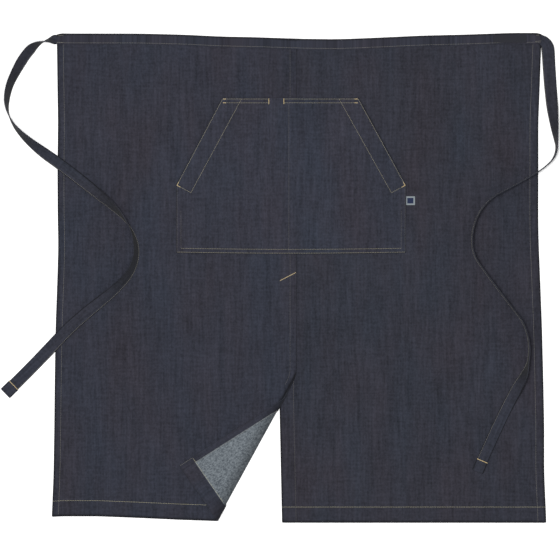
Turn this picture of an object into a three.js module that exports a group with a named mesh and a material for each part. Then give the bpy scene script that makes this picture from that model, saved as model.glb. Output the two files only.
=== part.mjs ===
import * as THREE from 'three';

// A long denim waist apron laid flat with its front up. Two panels lap at the centre front, sewn at
// the top and open below as a vent, and the over panel's lower inner corner is turned back. A pocket
// with slanted mouths and a pen slot lies over both. The strap ends trail beside and over the apron.
// Millimetres. +X to the viewer's right, +Y to the waist, +Z up off the surface that it lies on.

// Cloth
const ply = 1.2;
const clearance = 0.35;

// Body: measured across the waist and from the waist edge to the hem
const waistWidth = 944;
const bodyLength = 953;
const sideFlare = 9.8;
const waistSag = 11.3;
const legRise = 12.5;
const sideHem = 12;
const bottomHem = 30;
const hemSlope = 3;

// Lap of the two panels at the centre front
const lapShift = -6;
const lapWidth = 32;
const lapHem = 12;
const lapRamp = 12;
const lapMargin = 1.5;
const ventFacing = 25;
const ventLean = 5;
const bridgeRun = 12;

// Turned-back corner of the over panel
const cornerUp = 290;
const cornerAcross = 157;
const cornerRadius = 2;
const cornerSettle = 1.2;
const settleRun = 70;

// Waistband casing
const bandDepth = 19.5;
const seamInsert = 7;
const bandRamp = 12;

// Pocket
const pocketWidth = 446;
const pocketHeight = 301;
const pocketDrop = 127;
const pocketShift = -15.8;
const mouthAcross = 88;
const mouthDown = 169;
const mouthFacing = 32;
const penSlotWidth = 27.3;
const penSlotInset = 10.7;
const penSlotGape = 7.5;
const penSlotDepth = 70;
const penSlotFade = 0.4;
const dividerInset = 13.7;
const pocketFullness = 6.5;
const seamFlat = 4;
const fullnessRun = 40;

// Ties
const tieWidth = 21.8;
const tieThickness = 1.8;
const tieLengthLeft = 963;
const tieLengthRight = 992;
const tieRootWidth = 14;
const tieRootInsert = 12;
const tieRootFlare = 12;
const tieEndTurn = 16;
const tieEndSpread = 1;
const tieEndBulk = 0.7;
const tieRootDrop = 11.6;
const rootRise = 14;
const rootSlack = 2;
const tieSettleRun = 34;

// Labels
const bandLabelLength = 63.5;
const bandLabelDepth = 14;
const bandLabelThickness = 1;
const tagLength = 19;
const tagWidth = 17.5;
const tagDrop = 22;
const tagThickness = 1.2;

// Mesh spacing
const panelStep = 62;
const pocketStep = 27;
const tieStep = 10.5;
const foldSides = 6;
const nearestLines = 0.3;
const walkParts = 8;
const tieSamples = [-1, -0.5, 0, 0.5, 1];

// Edge lines as shares: drop of waistSag, left and right of sideFlare, rise of legRise
const waistLine = [
  { across: 0.0, drop: 0.0 },
  { across: 0.17, drop: 0.02 },
  { across: 0.26, drop: 0.2 },
  { across: 0.34, drop: 0.53 },
  { across: 0.42, drop: 0.66 },
  { across: 0.49, drop: 0.9 },
  { across: 0.58, drop: 1.0 },
  { across: 0.67, drop: 0.7 },
  { across: 0.75, drop: 0.38 },
  { across: 0.85, drop: 0.18 },
  { across: 0.94, drop: -0.1 },
  { across: 1.0, drop: -0.08 },
];
const sideLine = [
  { down: 0.0, left: 0.0, right: 0.0 },
  { down: 0.06, left: -0.06, right: -0.2 },
  { down: 0.12, left: -0.14, right: -0.4 },
  { down: 0.18, left: -0.24, right: -0.65 },
  { down: 0.28, left: -0.12, right: -0.65 },
  { down: 0.38, left: -0.18, right: -0.67 },
  { down: 0.43, left: -0.3, right: -0.58 },
  { down: 0.5, left: -0.12, right: -0.3 },
  { down: 0.6, left: 0.24, right: 0.08 },
  { down: 0.7, left: 0.4, right: 0.32 },
  { down: 0.8, left: 0.5, right: 0.52 },
  { down: 0.9, left: 0.65, right: 0.52 },
  { down: 1.0, left: 1.05, right: 0.95 },
];
const leftHemLine = [
  { across: 0.0, rise: 0.9 },
  { across: 0.04, rise: 1.0 },
  { across: 0.19, rise: 1.0 },
  { across: 0.36, rise: 0.75 },
  { across: 0.52, rise: 0.47 },
  { across: 1.0, rise: -0.16 },
];

// Lie of each tie: share of its length, heading in degrees from +X, and lean in degrees, where a
// quarter turn stands it on its right-hand edge and a half turn lays it on its other face
const leftTieLie = [
  { along: 0.0, heading: 181, lean: 0 },
  { along: 0.015, heading: 186, lean: 0 },
  { along: 0.026, heading: 190, lean: 60 },
  { along: 0.041, heading: 199, lean: 90 },
  { along: 0.07, heading: 226, lean: 146 },
  { along: 0.1, heading: 239, lean: 152 },
  { along: 0.14, heading: 245, lean: 132 },
  { along: 0.185, heading: 266, lean: 114 },
  { along: 0.212, heading: 287, lean: 92 },
  { along: 0.25, heading: 308, lean: 74 },
  { along: 0.29, heading: 321, lean: 53 },
  { along: 0.335, heading: 325, lean: 12 },
  { along: 0.4, heading: 322, lean: 0 },
  { along: 0.47, heading: 321, lean: 30 },
  { along: 0.51, heading: 315, lean: 60 },
  { along: 0.549, heading: 301, lean: 92 },
  { along: 0.585, heading: 282, lean: 113 },
  { along: 0.622, heading: 255, lean: 123 },
  { along: 0.667, heading: 228, lean: 136 },
  { along: 0.71, heading: 219, lean: 162 },
  { along: 0.76, heading: 219, lean: 180 },
  { along: 0.85, heading: 227, lean: 180 },
  { along: 1.0, heading: 224, lean: 180 },
];
const rightTieLie = [
  { along: 0.0, heading: -6, lean: 0 },
  { along: 0.01, heading: -17, lean: 0 },
  { along: 0.034, heading: -84, lean: 0 },
  { along: 0.05, heading: -88, lean: 0 },
  { along: 0.13, heading: -85, lean: 0 },
  { along: 0.17, heading: -83, lean: 36 },
  { along: 0.2, heading: -83, lean: 62 },
  { along: 0.224, heading: -84, lean: 84 },
  { along: 0.263, heading: -136.5, lean: 90 },
  { along: 0.3, heading: -149, lean: 90 },
  { along: 0.378, heading: -153, lean: 90 },
  { along: 0.41, heading: -134, lean: 90 },
  { along: 0.445, heading: -114, lean: 90 },
  { along: 0.5, heading: -86, lean: 90 },
  { along: 0.54, heading: -54, lean: 90 },
  { along: 0.665, heading: -52, lean: 90 },
  { along: 0.71, heading: -76, lean: 90 },
  { along: 0.765, heading: -102, lean: 86 },
  { along: 0.8, heading: -119, lean: 42 },
  { along: 0.835, heading: -117, lean: 0 },
  { along: 0.95, heading: -114, lean: 0 },
  { along: 1.0, heading: -103, lean: 0 },
];

const clamp = THREE.MathUtils.clamp;
const smooth = THREE.MathUtils.smoothstep;

// Value of a column at a place between a table's rows, along straight lines
function readTable(rows, placeKey, valueKey, place) {
  const at = clamp(place, rows[0][placeKey], rows[rows.length - 1][placeKey]);
  let index = 1;
  while (rows[index][placeKey] < at) index += 1;
  const before = rows[index - 1];
  const after = rows[index];
  const share = (at - before[placeKey]) / (after[placeKey] - before[placeKey]);
  return before[valueKey] + share * (after[valueKey] - before[valueKey]);
}

// Evenly spaced places from one end to the other, no further apart than the step
function spread(from, to, step) {
  const count = Math.max(1, Math.ceil((to - from) / step - 0.05));
  return Array.from({ length: count + 1 }, (unused, index) => from + ((to - from) * index) / count);
}

// Spread between each two neighbours of a list of feature places, in ascending order
function spreadFeatures(features, step) {
  const sorted = [...features].sort((a, b) => a - b);
  const places = [sorted[0]];
  for (let index = 1; index < sorted.length; index += 1) {
    const gap = sorted[index] - places[places.length - 1];
    if (gap > nearestLines) places.push(...spread(places[places.length - 1], sorted[index], step).slice(1));
  }
  return places;
}

// Outline of the body: x from its middle, down from the waist line
const lapEdge = lapShift;
const underEdge = lapEdge - lapWidth;
const bandRoom = ply + clearance;
const lapRoom = 2 * ply + clearance;

function waistEdge(x) {
  return waistSag * readTable(waistLine, 'across', 'drop', x / waistWidth + 0.5);
}

function sideEdge(side, down) {
  const column = side < 0 ? 'left' : 'right';
  return side * (waistWidth / 2 + sideFlare * readTable(sideLine, 'down', column, down / bodyLength));
}

function hemEdge(side, x) {
  if (side > 0) return bodyLength;
  const outer = sideEdge(-1, bodyLength);
  const across = (x - outer) / (lapEdge - outer);
  return bodyLength - legRise * readTable(leftHemLine, 'across', 'rise', across);
}

function ventEdge(down) {
  const free = bodyLength - cornerUp + (cornerUp * lapWidth) / cornerAcross;
  return underEdge + ventLean * clamp((down - free) / (bodyLength - free), 0, 1);
}

// How many plies thicker than one a turned edge makes the panel, 1 on the turning and 0 inside it
function turning(distance, width) {
  return 1 - clamp((distance - width) / hemSlope, 0, 1);
}

// Height that the casing's back wall lifts a panel, fading out below the band
function bandLift(x, down) {
  const below = down - waistEdge(x) - bandDepth - clearance;
  return bandRoom * (1 - clamp(below / bandRamp, 0, 1));
}

// Height that the under panel lifts the over panel
function lapLift(x) {
  return lapRoom * clamp((x - (underEdge - lapMargin - lapRamp)) / lapRamp, 0, 1);
}

function overPanelExtra(x, down) {
  const side = turning(x - sideEdge(-1, down), sideHem);
  const lap = turning(lapEdge - x, lapHem);
  const hem = turning(hemEdge(-1, x) - down, bottomHem);
  return ply * Math.max(side, lap, hem);
}

function underPanelExtra(x, down) {
  const side = turning(sideEdge(1, down) - x, sideHem);
  const facing = turning(x - ventEdge(down), ventFacing);
  const hem = turning(hemEdge(1, x) - down, bottomHem);
  return ply * Math.max(side, facing, hem);
}

function overPanelTop(x, down) {
  return bandLift(x, down) + lapLift(x) + overPanelExtra(x, down) + ply;
}

function underPanelTop(x, down) {
  return bandLift(x, down) + underPanelExtra(x, down) + ply;
}

// Height of a cloth laid over both panels, which slopes down past the lap's edge
function coverTop(x, down) {
  const lapHold = lapEdge + clearance;
  if (x <= lapHold) return overPanelTop(Math.min(x, lapEdge), down);
  const slope = lapRoom + ply;
  const bridged = overPanelTop(lapEdge, down) - (slope * (x - lapHold)) / bridgeRun;
  return Math.max(underPanelTop(x, down), bridged);
}

// Columns where the height across the lap changes
const lapFeatures = [
  underEdge - lapMargin - lapRamp,
  underEdge - lapMargin,
  lapEdge - lapHem - hemSlope,
  lapEdge - lapHem,
  lapEdge,
];
const lapCover = [lapEdge + clearance, lapEdge + clearance + bridgeRun];

// Solid of cloth: convex cells of flat points, each placed in space by its two faces
function clothSolid(cells, place) {
  const points = new Map();
  const positions = [];
  const key = (point) => `${Math.round(point.u * 1000)},${Math.round(point.v * 1000)}`;
  const numbered = cells.map((cell) => cell.map((point) => {
    const name = key(point);
    if (!points.has(name)) {
      const faces = place(point.u, point.v);
      points.set(name, positions.length / 3);
      positions.push(...faces.upper, ...faces.lower);
    }
    return points.get(name);
  }));
  const corners = [];
  const edges = new Map();
  for (const ring of numbered) {
    const cell = ring.filter((point, index) => point !== ring[(index + 1) % ring.length]);
    for (let index = 1; index < cell.length - 1; index += 1) {
      corners.push(cell[0], cell[index], cell[index + 1]);
      corners.push(cell[0] + 1, cell[index + 1] + 1, cell[index] + 1);
    }
    cell.forEach((from, index) => {
      const to = cell[(index + 1) % cell.length];
      if (edges.has(`${to},${from}`)) edges.delete(`${to},${from}`);
      else edges.set(`${from},${to}`, [from, to]);
    });
  }
  for (const [from, to] of edges.values()) {
    corners.push(from + 1, to + 1, to, from + 1, to, from);
  }
  const geometry = new THREE.BufferGeometry();
  geometry.setAttribute('position', new THREE.Float32BufferAttribute(positions, 3));
  geometry.setIndex(corners);
  geometry.computeVertexNormals();
  return geometry;
}

// Cells between the columns and rows of a grid, with u to the right and v up
function gridCells(columnCount, rowCount, pointAt) {
  const cells = [];
  for (let row = 0; row < rowCount - 1; row += 1) {
    for (let column = 0; column < columnCount - 1; column += 1) {
      cells.push([
        pointAt(column, row + 1),
        pointAt(column + 1, row + 1),
        pointAt(column + 1, row),
        pointAt(column, row),
      ]);
    }
  }
  return cells;
}

// Splits convex cells along a straight line, where side(point) is zero; keep drops the far side
function splitCells(cells, side, keep = 'both') {
  const result = [];
  for (const cell of cells) {
    const near = [];
    const far = [];
    cell.forEach((point, index) => {
      const next = cell[(index + 1) % cell.length];
      const here = side(point);
      const there = side(next);
      if (here <= 1e-6) near.push(point);
      if (here >= -1e-6) far.push(point);
      if (Math.abs(here) > 1e-6 && Math.abs(there) > 1e-6 && here * there < 0) {
        const share = here / (here - there);
        const cut = {
          u: point.u + share * (next.u - point.u),
          v: point.v + share * (next.v - point.v),
        };
        near.push(cut);
        far.push(cut);
      }
    });
    if (near.length > 2) result.push(near);
    if (far.length > 2 && keep === 'both') result.push(far);
  }
  return result.filter((cell) => cellArea(cell) > 1e-3);
}

function cellArea(cell) {
  return cell.reduce((sum, point, index) => {
    const next = cell[(index + 1) % cell.length];
    return sum + (point.u * next.v - next.u * point.v) / 2;
  }, 0);
}

// Cells of a panel between its side edge, its inner edge, the band and the hem. u is x and v is up.
function panelCells(side, features, innerEdge, innerHem) {
  const hemSign = -side;
  const inner = innerEdge(0);
  const near = [0, sideHem, sideHem + hemSlope];
  const innerSteps = [innerHem + hemSlope, innerHem, 0];
  const outermost = waistWidth / 2 - sideHem - hemSlope - panelStep / 2;
  const fixed = spreadFeatures([side * outermost, ...features], panelStep);
  const ordered = side < 0 ? fixed : fixed.reverse();
  const middle = ordered.filter((x) => (inner - x) * hemSign > innerSteps[0] + 1);
  const columns = [
    ...near.map((offset) => (down) => sideEdge(side, down) + hemSign * offset),
    ...middle.map((x) => () => x),
    ...innerSteps.map((offset) => (down) => innerEdge(down) - hemSign * offset),
  ];
  if (side > 0) columns.reverse();
  const top = bandDepth - seamInsert;
  const start = bandDepth + clearance;
  const lines = [
    ...[top, start, start + bandRamp].map((depth) => (x) => waistEdge(x) + depth),
    ...spread(start + bandRamp + panelStep / 2, bodyLength - bottomHem - panelStep / 2, panelStep)
      .map((down) => () => down),
    ...[bottomHem + hemSlope, bottomHem, 0].map((height) => (x) => hemEdge(side, x) - height),
  ];
  return gridCells(columns.length, lines.length, (column, row) => {
    const roughDown = lines[row](columns[column](bodyLength / 2));
    const x = columns[column](roughDown);
    return { u: x, v: -lines[row](x) };
  });
}

// Turned-back corner: the fold runs from the lap's edge down to the hem
const foldTop = { x: lapEdge, down: hemEdge(-1, lapEdge) - cornerUp };
const foldFoot = { x: lapEdge - cornerAcross, down: hemEdge(-1, lapEdge - cornerAcross) };
const foldLength = Math.hypot(foldFoot.x - foldTop.x, foldFoot.down - foldTop.down);
const foldNormal = {
  x: (foldFoot.down - foldTop.down) / foldLength,
  down: (foldTop.x - foldFoot.x) / foldLength,
};

function beyondFold(x, down) {
  return (x - foldTop.x) * foldNormal.x + (down - foldTop.down) * foldNormal.down;
}

// The over panel's middle surface is flat before the fold, rolls half round it and comes back
function placeOverPanel(x, up) {
  const down = -up;
  const beyond = Math.max(0, beyondFold(x, down));
  const foot = { x: x - beyond * foldNormal.x, down: down - beyond * foldNormal.down };
  const extra = overPanelExtra(x, down);
  const base = overPanelTop(foot.x, foot.down) - ply / 2;
  const rolled = Math.PI * cornerRadius;
  const angle = Math.min(beyond, rolled) / cornerRadius;
  const back = Math.max(0, beyond - rolled);
  const reach = cornerRadius * Math.sin(angle) - back;
  const height = base + cornerRadius * (1 - Math.cos(angle)) - cornerSettle * smooth(back, 0, settleRun);
  const point = (offset) => [
    foot.x + (reach - offset * Math.sin(angle)) * foldNormal.x,
    -(foot.down + (reach - offset * Math.sin(angle)) * foldNormal.down),
    height + offset * Math.cos(angle),
  ];
  return { upper: point(ply / 2), lower: point(-ply / 2 - extra) };
}

function overPanel() {
  let cells = panelCells(-1, lapFeatures.slice(0, 2), () => lapEdge, lapHem);
  for (let index = 0; index <= foldSides; index += 1) {
    const distance = (Math.PI * cornerRadius * index) / foldSides;
    cells = splitCells(cells, (point) => beyondFold(point.u, -point.v) - distance);
  }
  return clothSolid(cells, placeOverPanel);
}

function underPanel() {
  const cells = panelCells(1, [lapEdge + bridgeRun], ventEdge, ventFacing);
  return clothSolid(cells, (x, up) => ({
    upper: [x, up, underPanelTop(x, -up)],
    lower: [x, up, bandLift(x, -up)],
  }));
}

// Casing: a strip folded over the top edges of both panels and over the roots of the ties
const bandEnd = waistWidth / 2;
const rootStack = tieRootInsert + rootSlack;

function frontWallHeight(x) {
  const panels = coverTop(x, waistEdge(x) + bandDepth);
  const fromEnd = bandEnd - Math.abs(x);
  const stack = (tieThickness + clearance) * (1 - clamp((fromEnd - rootStack) / rootRise, 0, 1));
  return panels + clearance + stack;
}

function waistband() {
  const ends = [0, sideHem, rootStack, sideHem + hemSlope, rootStack + rootRise];
  const features = [
    ...ends.flatMap((inset) => [inset - bandEnd, bandEnd - inset]),
    ...waistLine.map((row) => (row.across - 0.5) * waistWidth),
    ...lapFeatures,
    ...lapCover,
    underEdge + ventFacing,
  ];
  const columns = spreadFeatures(features, panelStep);
  const wallRows = [bandDepth, bandDepth - seamInsert];
  const turns = Array.from({ length: foldSides + 1 }, (unused, index) => index / foldSides);
  const rows = [
    ...wallRows.map((depth) => ({ wall: 1, depth })),
    ...turns.map((turn) => ({ turn })),
    ...[...wallRows].reverse().map((depth) => ({ wall: -1, depth })),
  ];
  const pointAt = (column, row) => ({ u: columns[column], v: -row });
  const cells = gridCells(columns.length, rows.length, pointAt);
  return clothSolid(cells, (x, minusRow) => {
    const row = rows[Math.round(-minusRow)];
    const front = frontWallHeight(x) + ply / 2;
    const radius = (front - ply / 2) / 2;
    const centre = { down: waistEdge(x) + radius + ply / 2, z: radius + ply / 2 };
    const angle = row.wall === undefined ? row.turn * Math.PI : ((1 - row.wall) / 2) * Math.PI;
    const rim = (offset) => ({
      down: centre.down - (radius + offset) * Math.sin(angle),
      z: centre.z + (radius + offset) * Math.cos(angle),
    });
    const point = (offset) => {
      const place = rim(offset);
      return [x, -(row.wall === undefined ? place.down : waistEdge(x) + row.depth), place.z];
    };
    return { upper: point(-ply / 2), lower: point(ply / 2) };
  });
}

// Pocket: one ply sewn down round its edge and along its divider, and full between the seams
const pocketLeft = pocketShift - pocketWidth / 2;
const pocketRight = pocketShift + pocketWidth / 2;
const pocketBottom = pocketDrop + pocketHeight;
const mouthFoot = pocketDrop + mouthDown;
const divider = lapEdge - dividerInset;
const slotRight = divider - penSlotInset;
const slotLeft = slotRight - penSlotWidth;
const slotMiddle = (slotLeft + slotRight) / 2;

const sewnLines = [
  { fromX: pocketLeft + mouthAcross, fromDown: pocketDrop, toX: slotLeft, toDown: pocketDrop },
  { fromX: slotRight, fromDown: pocketDrop, toX: pocketRight - mouthAcross, toDown: pocketDrop },
  { fromX: pocketLeft, fromDown: mouthFoot, toX: pocketLeft, toDown: pocketBottom },
  { fromX: pocketLeft, fromDown: pocketBottom, toX: pocketRight, toDown: pocketBottom },
  { fromX: pocketRight, fromDown: mouthFoot, toX: pocketRight, toDown: pocketBottom },
  { fromX: divider, fromDown: pocketDrop, toX: divider, toDown: pocketBottom },
];

function distanceToLine(line, x, down) {
  const runX = line.toX - line.fromX;
  const runDown = line.toDown - line.fromDown;
  const along = (x - line.fromX) * runX + (down - line.fromDown) * runDown;
  const share = clamp(along / (runX * runX + runDown * runDown), 0, 1);
  return Math.hypot(x - line.fromX - share * runX, down - line.fromDown - share * runDown);
}

function fullness(x, down) {
  const seam = Math.min(...sewnLines.map((line) => distanceToLine(line, x, down)));
  const fromSlot = (x - slotMiddle) / (penSlotWidth / 2);
  const depthShare = (down - pocketDrop) / penSlotDepth;
  const gape = penSlotGape * Math.max(0, 1 - fromSlot * fromSlot) * (1 - smooth(depthShare, penSlotFade, 1));
  return Math.max(pocketFullness * smooth(seam - seamFlat, 0, fullnessRun), gape);
}

// How far a point lies inside a slanted mouth's edge, on the left with side -1
function insideMouth(side, x, down) {
  const slant = Math.hypot(mouthAcross, mouthDown);
  const foot = side < 0 ? pocketLeft : pocketRight;
  return (-side * (x - foot) * mouthDown + (down - mouthFoot) * mouthAcross) / slant;
}

function pocket() {
  const edgeSteps = [0, 2 * seamFlat, seamFlat + fullnessRun / 2];
  const slotCore = penSlotWidth / 5;
  const features = [
    ...edgeSteps.map((inset) => pocketLeft + inset),
    ...edgeSteps.map((inset) => pocketRight - inset),
    ...lapFeatures,
    ...lapCover,
    slotLeft,
    slotMiddle - slotCore,
    slotMiddle + slotCore,
    divider + fullnessRun,
    divider - seamFlat - fullnessRun,
  ];
  const columns = spreadFeatures(features, pocketStep);
  const rowFeatures = [
    ...edgeSteps.map((inset) => pocketDrop + inset),
    ...edgeSteps.map((inset) => pocketBottom - inset),
  ];
  const rows = spreadFeatures(rowFeatures, pocketStep);
  const pointAt = (column, row) => ({ u: columns[column], v: -rows[row] });
  let cells = gridCells(columns.length, rows.length, pointAt);
  for (const side of [-1, 1]) {
    cells = splitCells(cells, (point) => -insideMouth(side, point.u, -point.v), 'near');
    for (const inset of [mouthFacing, mouthFacing + hemSlope]) {
      cells = splitCells(cells, (point) => insideMouth(side, point.u, -point.v) - inset);
    }
  }
  return clothSolid(cells, (x, up) => {
    const down = -up;
    const lower = coverTop(x, down) + clearance + fullness(x, down);
    const mouth = Math.min(insideMouth(-1, x, down), insideMouth(1, x, down));
    return { upper: [x, up, lower + ply * (1 + turning(mouth, mouthFacing))], lower: [x, up, lower] };
  });
}

// Surface under a tie: the apron's cloth, or zero where it lies beside the apron
function groundAt(x, down) {
  const inside = x > sideEdge(-1, down) && x < sideEdge(1, down) && down > 0 && down < bodyLength;
  return inside ? coverTop(x, down) : 0;
}

// Stations along a tie, walked from its root by heading, then set down on what it crosses
function tieStations(length, lie, side) {
  const turned = length - tieEndTurn;
  const distances = spreadFeatures([0, rootStack, turned - hemSlope, turned, length], tieStep);
  const lieAt = (column, distance) => (
    THREE.MathUtils.degToRad(readTable(lie, 'along', column, distance / length))
  );
  let x = side * (bandEnd - tieRootInsert);
  let down = tieRootDrop + waistEdge(x);
  const stations = distances.map((distance, index) => {
    const step = index ? (distance - distances[index - 1]) / walkParts : 0;
    for (let part = 0; part < walkParts; part += 1) {
      const heading = lieAt('heading', distance - (part + 0.5) * step);
      x += Math.cos(heading) * step;
      down -= Math.sin(heading) * step;
    }
    const root = smooth(distance, tieRootInsert, tieRootInsert + tieRootFlare);
    const width = tieRootWidth + (tieWidth - tieRootWidth) * root;
    const heading = lieAt('heading', distance);
    const lean = lieAt('lean', distance);
    return { x, down, heading, lean, width, distance, turned: distance >= turned };
  });
  return settleTie(stations, side);
}

function settleTie(stations, side) {
  const thickness = tieThickness;
  const rests = stations.map((station) => {
    const left = { x: -Math.sin(station.heading), down: -Math.cos(station.heading) };
    const half = station.width / 2;
    const tilt = Math.abs(Math.cos(station.lean)) * (thickness / 2);
    return Math.max(...tieSamples.map((edge) => {
      const across = edge * half * Math.cos(station.lean);
      const rise = edge * half * Math.sin(station.lean);
      const ground = groundAt(station.x + across * left.x, station.down + across * left.down);
      return (ground > 0 ? ground + clearance : 0) - rise + tilt;
    }));
  });
  const rootPanel = coverTop(side * (bandEnd - 1), waistEdge(side * bandEnd) + bandDepth);
  const rootHeight = rootPanel + clearance + thickness / 2;
  const raised = rests.map((rest, index) => Math.max(...rests.slice(Math.max(0, index - 2), index + 3)));
  return stations.map((station, index) => {
    const window = raised.slice(Math.max(0, index - 1), index + 2);
    const level = window.reduce((sum, value) => sum + value, 0) / window.length;
    const settled = smooth(station.distance, rootStack, rootStack + tieSettleRun);
    const free = Math.max(level, rests[index]);
    const height = rootHeight + (free - rootHeight) * settled;
    return { ...station, height: settled > 0 ? Math.max(height, rests[index]) : rootHeight };
  });
}

function tie(length, lie, side) {
  const stations = tieStations(length, lie, side);
  const cells = gridCells(stations.length, 3, (column, row) => ({ u: column, v: 1 - row }));
  return clothSolid(cells, (index, across) => {
    const station = stations[Math.round(index)];
    const half = (station.width + (station.turned ? tieEndSpread : 0)) / 2;
    const thick = tieThickness + (station.turned ? tieEndBulk : 0);
    const left = { x: -Math.sin(station.heading), y: Math.cos(station.heading) };
    const flat = across * half * Math.cos(station.lean);
    const rise = across * half * Math.sin(station.lean);
    const lift = station.height + ((thick - tieThickness) / 2) * Math.abs(Math.cos(station.lean));
    const point = (offset) => [
      station.x + (flat - offset * Math.sin(station.lean)) * left.x,
      -station.down + (flat - offset * Math.sin(station.lean)) * left.y,
      lift + rise + offset * Math.cos(station.lean),
    ];
    return { upper: point(thick / 2), lower: point(-thick / 2) };
  });
}

// A flat strip lying on a surface at one height, from its low corner, with its size
function strip(left, bottom, length, width, base, thickness) {
  const columns = spread(0, length, length / 2);
  const cells = gridCells(columns.length, 2, (column, row) => ({
    u: left + columns[column],
    v: bottom + (1 - row) * width,
  }));
  return clothSolid(cells, (x, y) => ({ upper: [x, y, base + thickness], lower: [x, y, base] }));
}

function bandLabel() {
  const right = bandEnd - rootStack - rootRise - 1;
  const left = right - bandLabelLength;
  const edges = spread(left, right, bandLabelLength / 4).map((x) => waistEdge(x));
  const lowest = Math.min(...edges) + bandDepth - clearance;
  const base = frontWallHeight(left) + ply + clearance;
  return strip(left, -lowest, bandLabelLength, bandLabelDepth, base, bandLabelThickness);
}

function sideTag() {
  const top = mouthFoot + tagDrop;
  const base = underPanelTop(pocketRight + tagLength / 2, top) + clearance;
  return strip(pocketRight + clearance, -top - tagWidth, tagLength, tagWidth, base, tagThickness);
}

function cloth(color) {
  return new THREE.MeshStandardMaterial({ color, roughness: 0.92, metalness: 0, side: THREE.FrontSide });
}

const apron = new THREE.Group();

function addPiece(name, geometry, color) {
  const mesh = new THREE.Mesh(geometry, cloth(color));
  mesh.name = name;
  apron.add(mesh);
}

addPiece('waistband', waistband(), 0x343743);
addPiece('over_panel', overPanel(), 0x373944);
addPiece('under_panel', underPanel(), 0x353741);
addPiece('pocket', pocket(), 0x393a46);
addPiece('left_tie', tie(tieLengthLeft, leftTieLie, -1), 0x31343e);
addPiece('right_tie', tie(tieLengthRight, rightTieLie, 1), 0x31343e);
addPiece('band_label', bandLabel(), 0x2b2c33);
addPiece('side_tag', sideTag(), 0xb9bcc0);

// Origin at the middle of the whole piece's footprint, on the surface that it lies on
const bounds = new THREE.Box3().setFromObject(apron);
const middle = bounds.getCenter(new THREE.Vector3());
apron.position.set(-middle.x, -middle.y, -bounds.min.z);

const model = new THREE.Group();
model.add(apron);

export default model;
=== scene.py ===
# A long denim waist apron laid flat with its front up, seen from straight above
import bpy
import numpy as np
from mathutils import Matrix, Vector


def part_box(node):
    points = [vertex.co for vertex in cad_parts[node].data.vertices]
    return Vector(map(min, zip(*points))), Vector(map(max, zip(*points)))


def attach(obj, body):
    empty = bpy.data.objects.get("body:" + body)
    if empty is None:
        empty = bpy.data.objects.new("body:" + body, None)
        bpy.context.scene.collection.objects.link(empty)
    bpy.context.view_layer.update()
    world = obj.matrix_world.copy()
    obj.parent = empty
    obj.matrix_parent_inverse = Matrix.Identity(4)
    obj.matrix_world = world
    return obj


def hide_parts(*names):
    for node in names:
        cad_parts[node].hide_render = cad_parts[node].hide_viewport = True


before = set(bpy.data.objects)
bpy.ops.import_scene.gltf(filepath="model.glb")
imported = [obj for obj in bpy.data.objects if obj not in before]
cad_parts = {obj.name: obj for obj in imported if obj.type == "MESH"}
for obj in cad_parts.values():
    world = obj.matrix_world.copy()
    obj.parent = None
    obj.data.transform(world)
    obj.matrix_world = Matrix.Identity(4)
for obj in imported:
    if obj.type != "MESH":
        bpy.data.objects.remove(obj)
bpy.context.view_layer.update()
print("frame loaded")

# Sizes in metres. x runs from the middle of the waist, down from the waist line to the hem.
cloth = dict(ply=0.0012, gap=0.00035, hemSlope=0.003)
body = dict(width=0.944, length=0.953, flare=0.0098, sag=0.0113, rise=0.0125, sideHem=0.012,
            bottomHem=0.0315, hemGrowth=0.0014, rightGrowth=0.0010)
lap = dict(edge=-0.006, width=0.032, hem=0.012, ramp=0.012, margin=0.0015, facing=0.025,
           lean=0.005, bridge=0.012, revealStart=0.64, revealEnd=0.68)
# The turned corner's size, roll and settling, and the over panel's painted shade: lapShade, slitShade and
# turnedShade at the lap edge, slit and flap, foldShade over shadeRun by the fold
corner = dict(up=0.2914, across=0.157, radius=0.002, settle=0.0012, settleRun=0.070, lapShade=0.10,
              slitShade=0.45, foldShade=0.92, shadeRun=0.029, turnedShade=0.15)
slit = dict(shift=0.022, start=0.655, end=0.722, shadeStart=0.60)  # the turned corner pulls it aside
band = dict(depth=0.0195, insert=0.007, ramp=0.012, rise=0.014)

# Edge lines of the body as shares of its sag, flare and rise
waistLine = dict(
    across=[0, .17, .26, .34, .42, .49, .58, .67, .75, .85, .94, 1],
    drop=[0, .02, .2, .53, .66, .9, 1, .7, .38, .18, -.1, -.08],
)
sideLine = dict(
    down=[0, .06, .12, .18, .28, .38, .43, .5, .6, .7, .8, .9, 1],
    left=[0, -.06, -.14, -.24, -.12, -.18, -.3, -.12, .24, .4, .5, .65, 1.05],
    right=[0, -.2, -.4, -.65, -.65, -.67, -.58, -.3, .08, .32, .52, .52, .95],
)
hemLine = dict(across=[0, .04, .19, .36, .52, 1], rise=[.9, 1, 1, .75, .47, -.16])

bandLow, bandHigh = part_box("waistband")
middleX = (bandLow[0] + bandHigh[0]) / 2
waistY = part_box("under_panel")[0][1] + body["length"]
body["length"] += body["hemGrowth"]


readShifts = (-.02, -.01, 0, .01, .02)


def softRead(places, values, at):
    # A table read along straight lines and averaged over a short stretch, which rounds its corners
    at = np.asarray(at, float)
    return sum(np.interp(at + shift, places, values) for shift in readShifts) / len(readShifts)


def ramp(value, start, end):
    # Smooth step: three squares less two cubes of the share from start to end
    share = np.clip((value - start) / (end - start), 0, 1)
    return share * share * (3 - 2 * share)


def waistEdge(x):
    return body["sag"] * softRead(waistLine["across"], waistLine["drop"], x / body["width"] + .5)


def sideEdge(side, down):
    column = sideLine["left" if side < 0 else "right"]
    half = body["width"] / 2 + (body["rightGrowth"] if side > 0 else 0)
    return side * (half + body["flare"] * softRead(sideLine["down"], column, down / body["length"]))


def hemEdge(side, x):
    if side > 0:
        return body["length"] + 0 * x
    outer = sideEdge(-1, body["length"])
    across = (x - outer) / (lap["edge"] - outer)
    return body["length"] - body["rise"] * softRead(hemLine["across"], hemLine["rise"], across)


underEdge = lap["edge"] - lap["width"]


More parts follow.
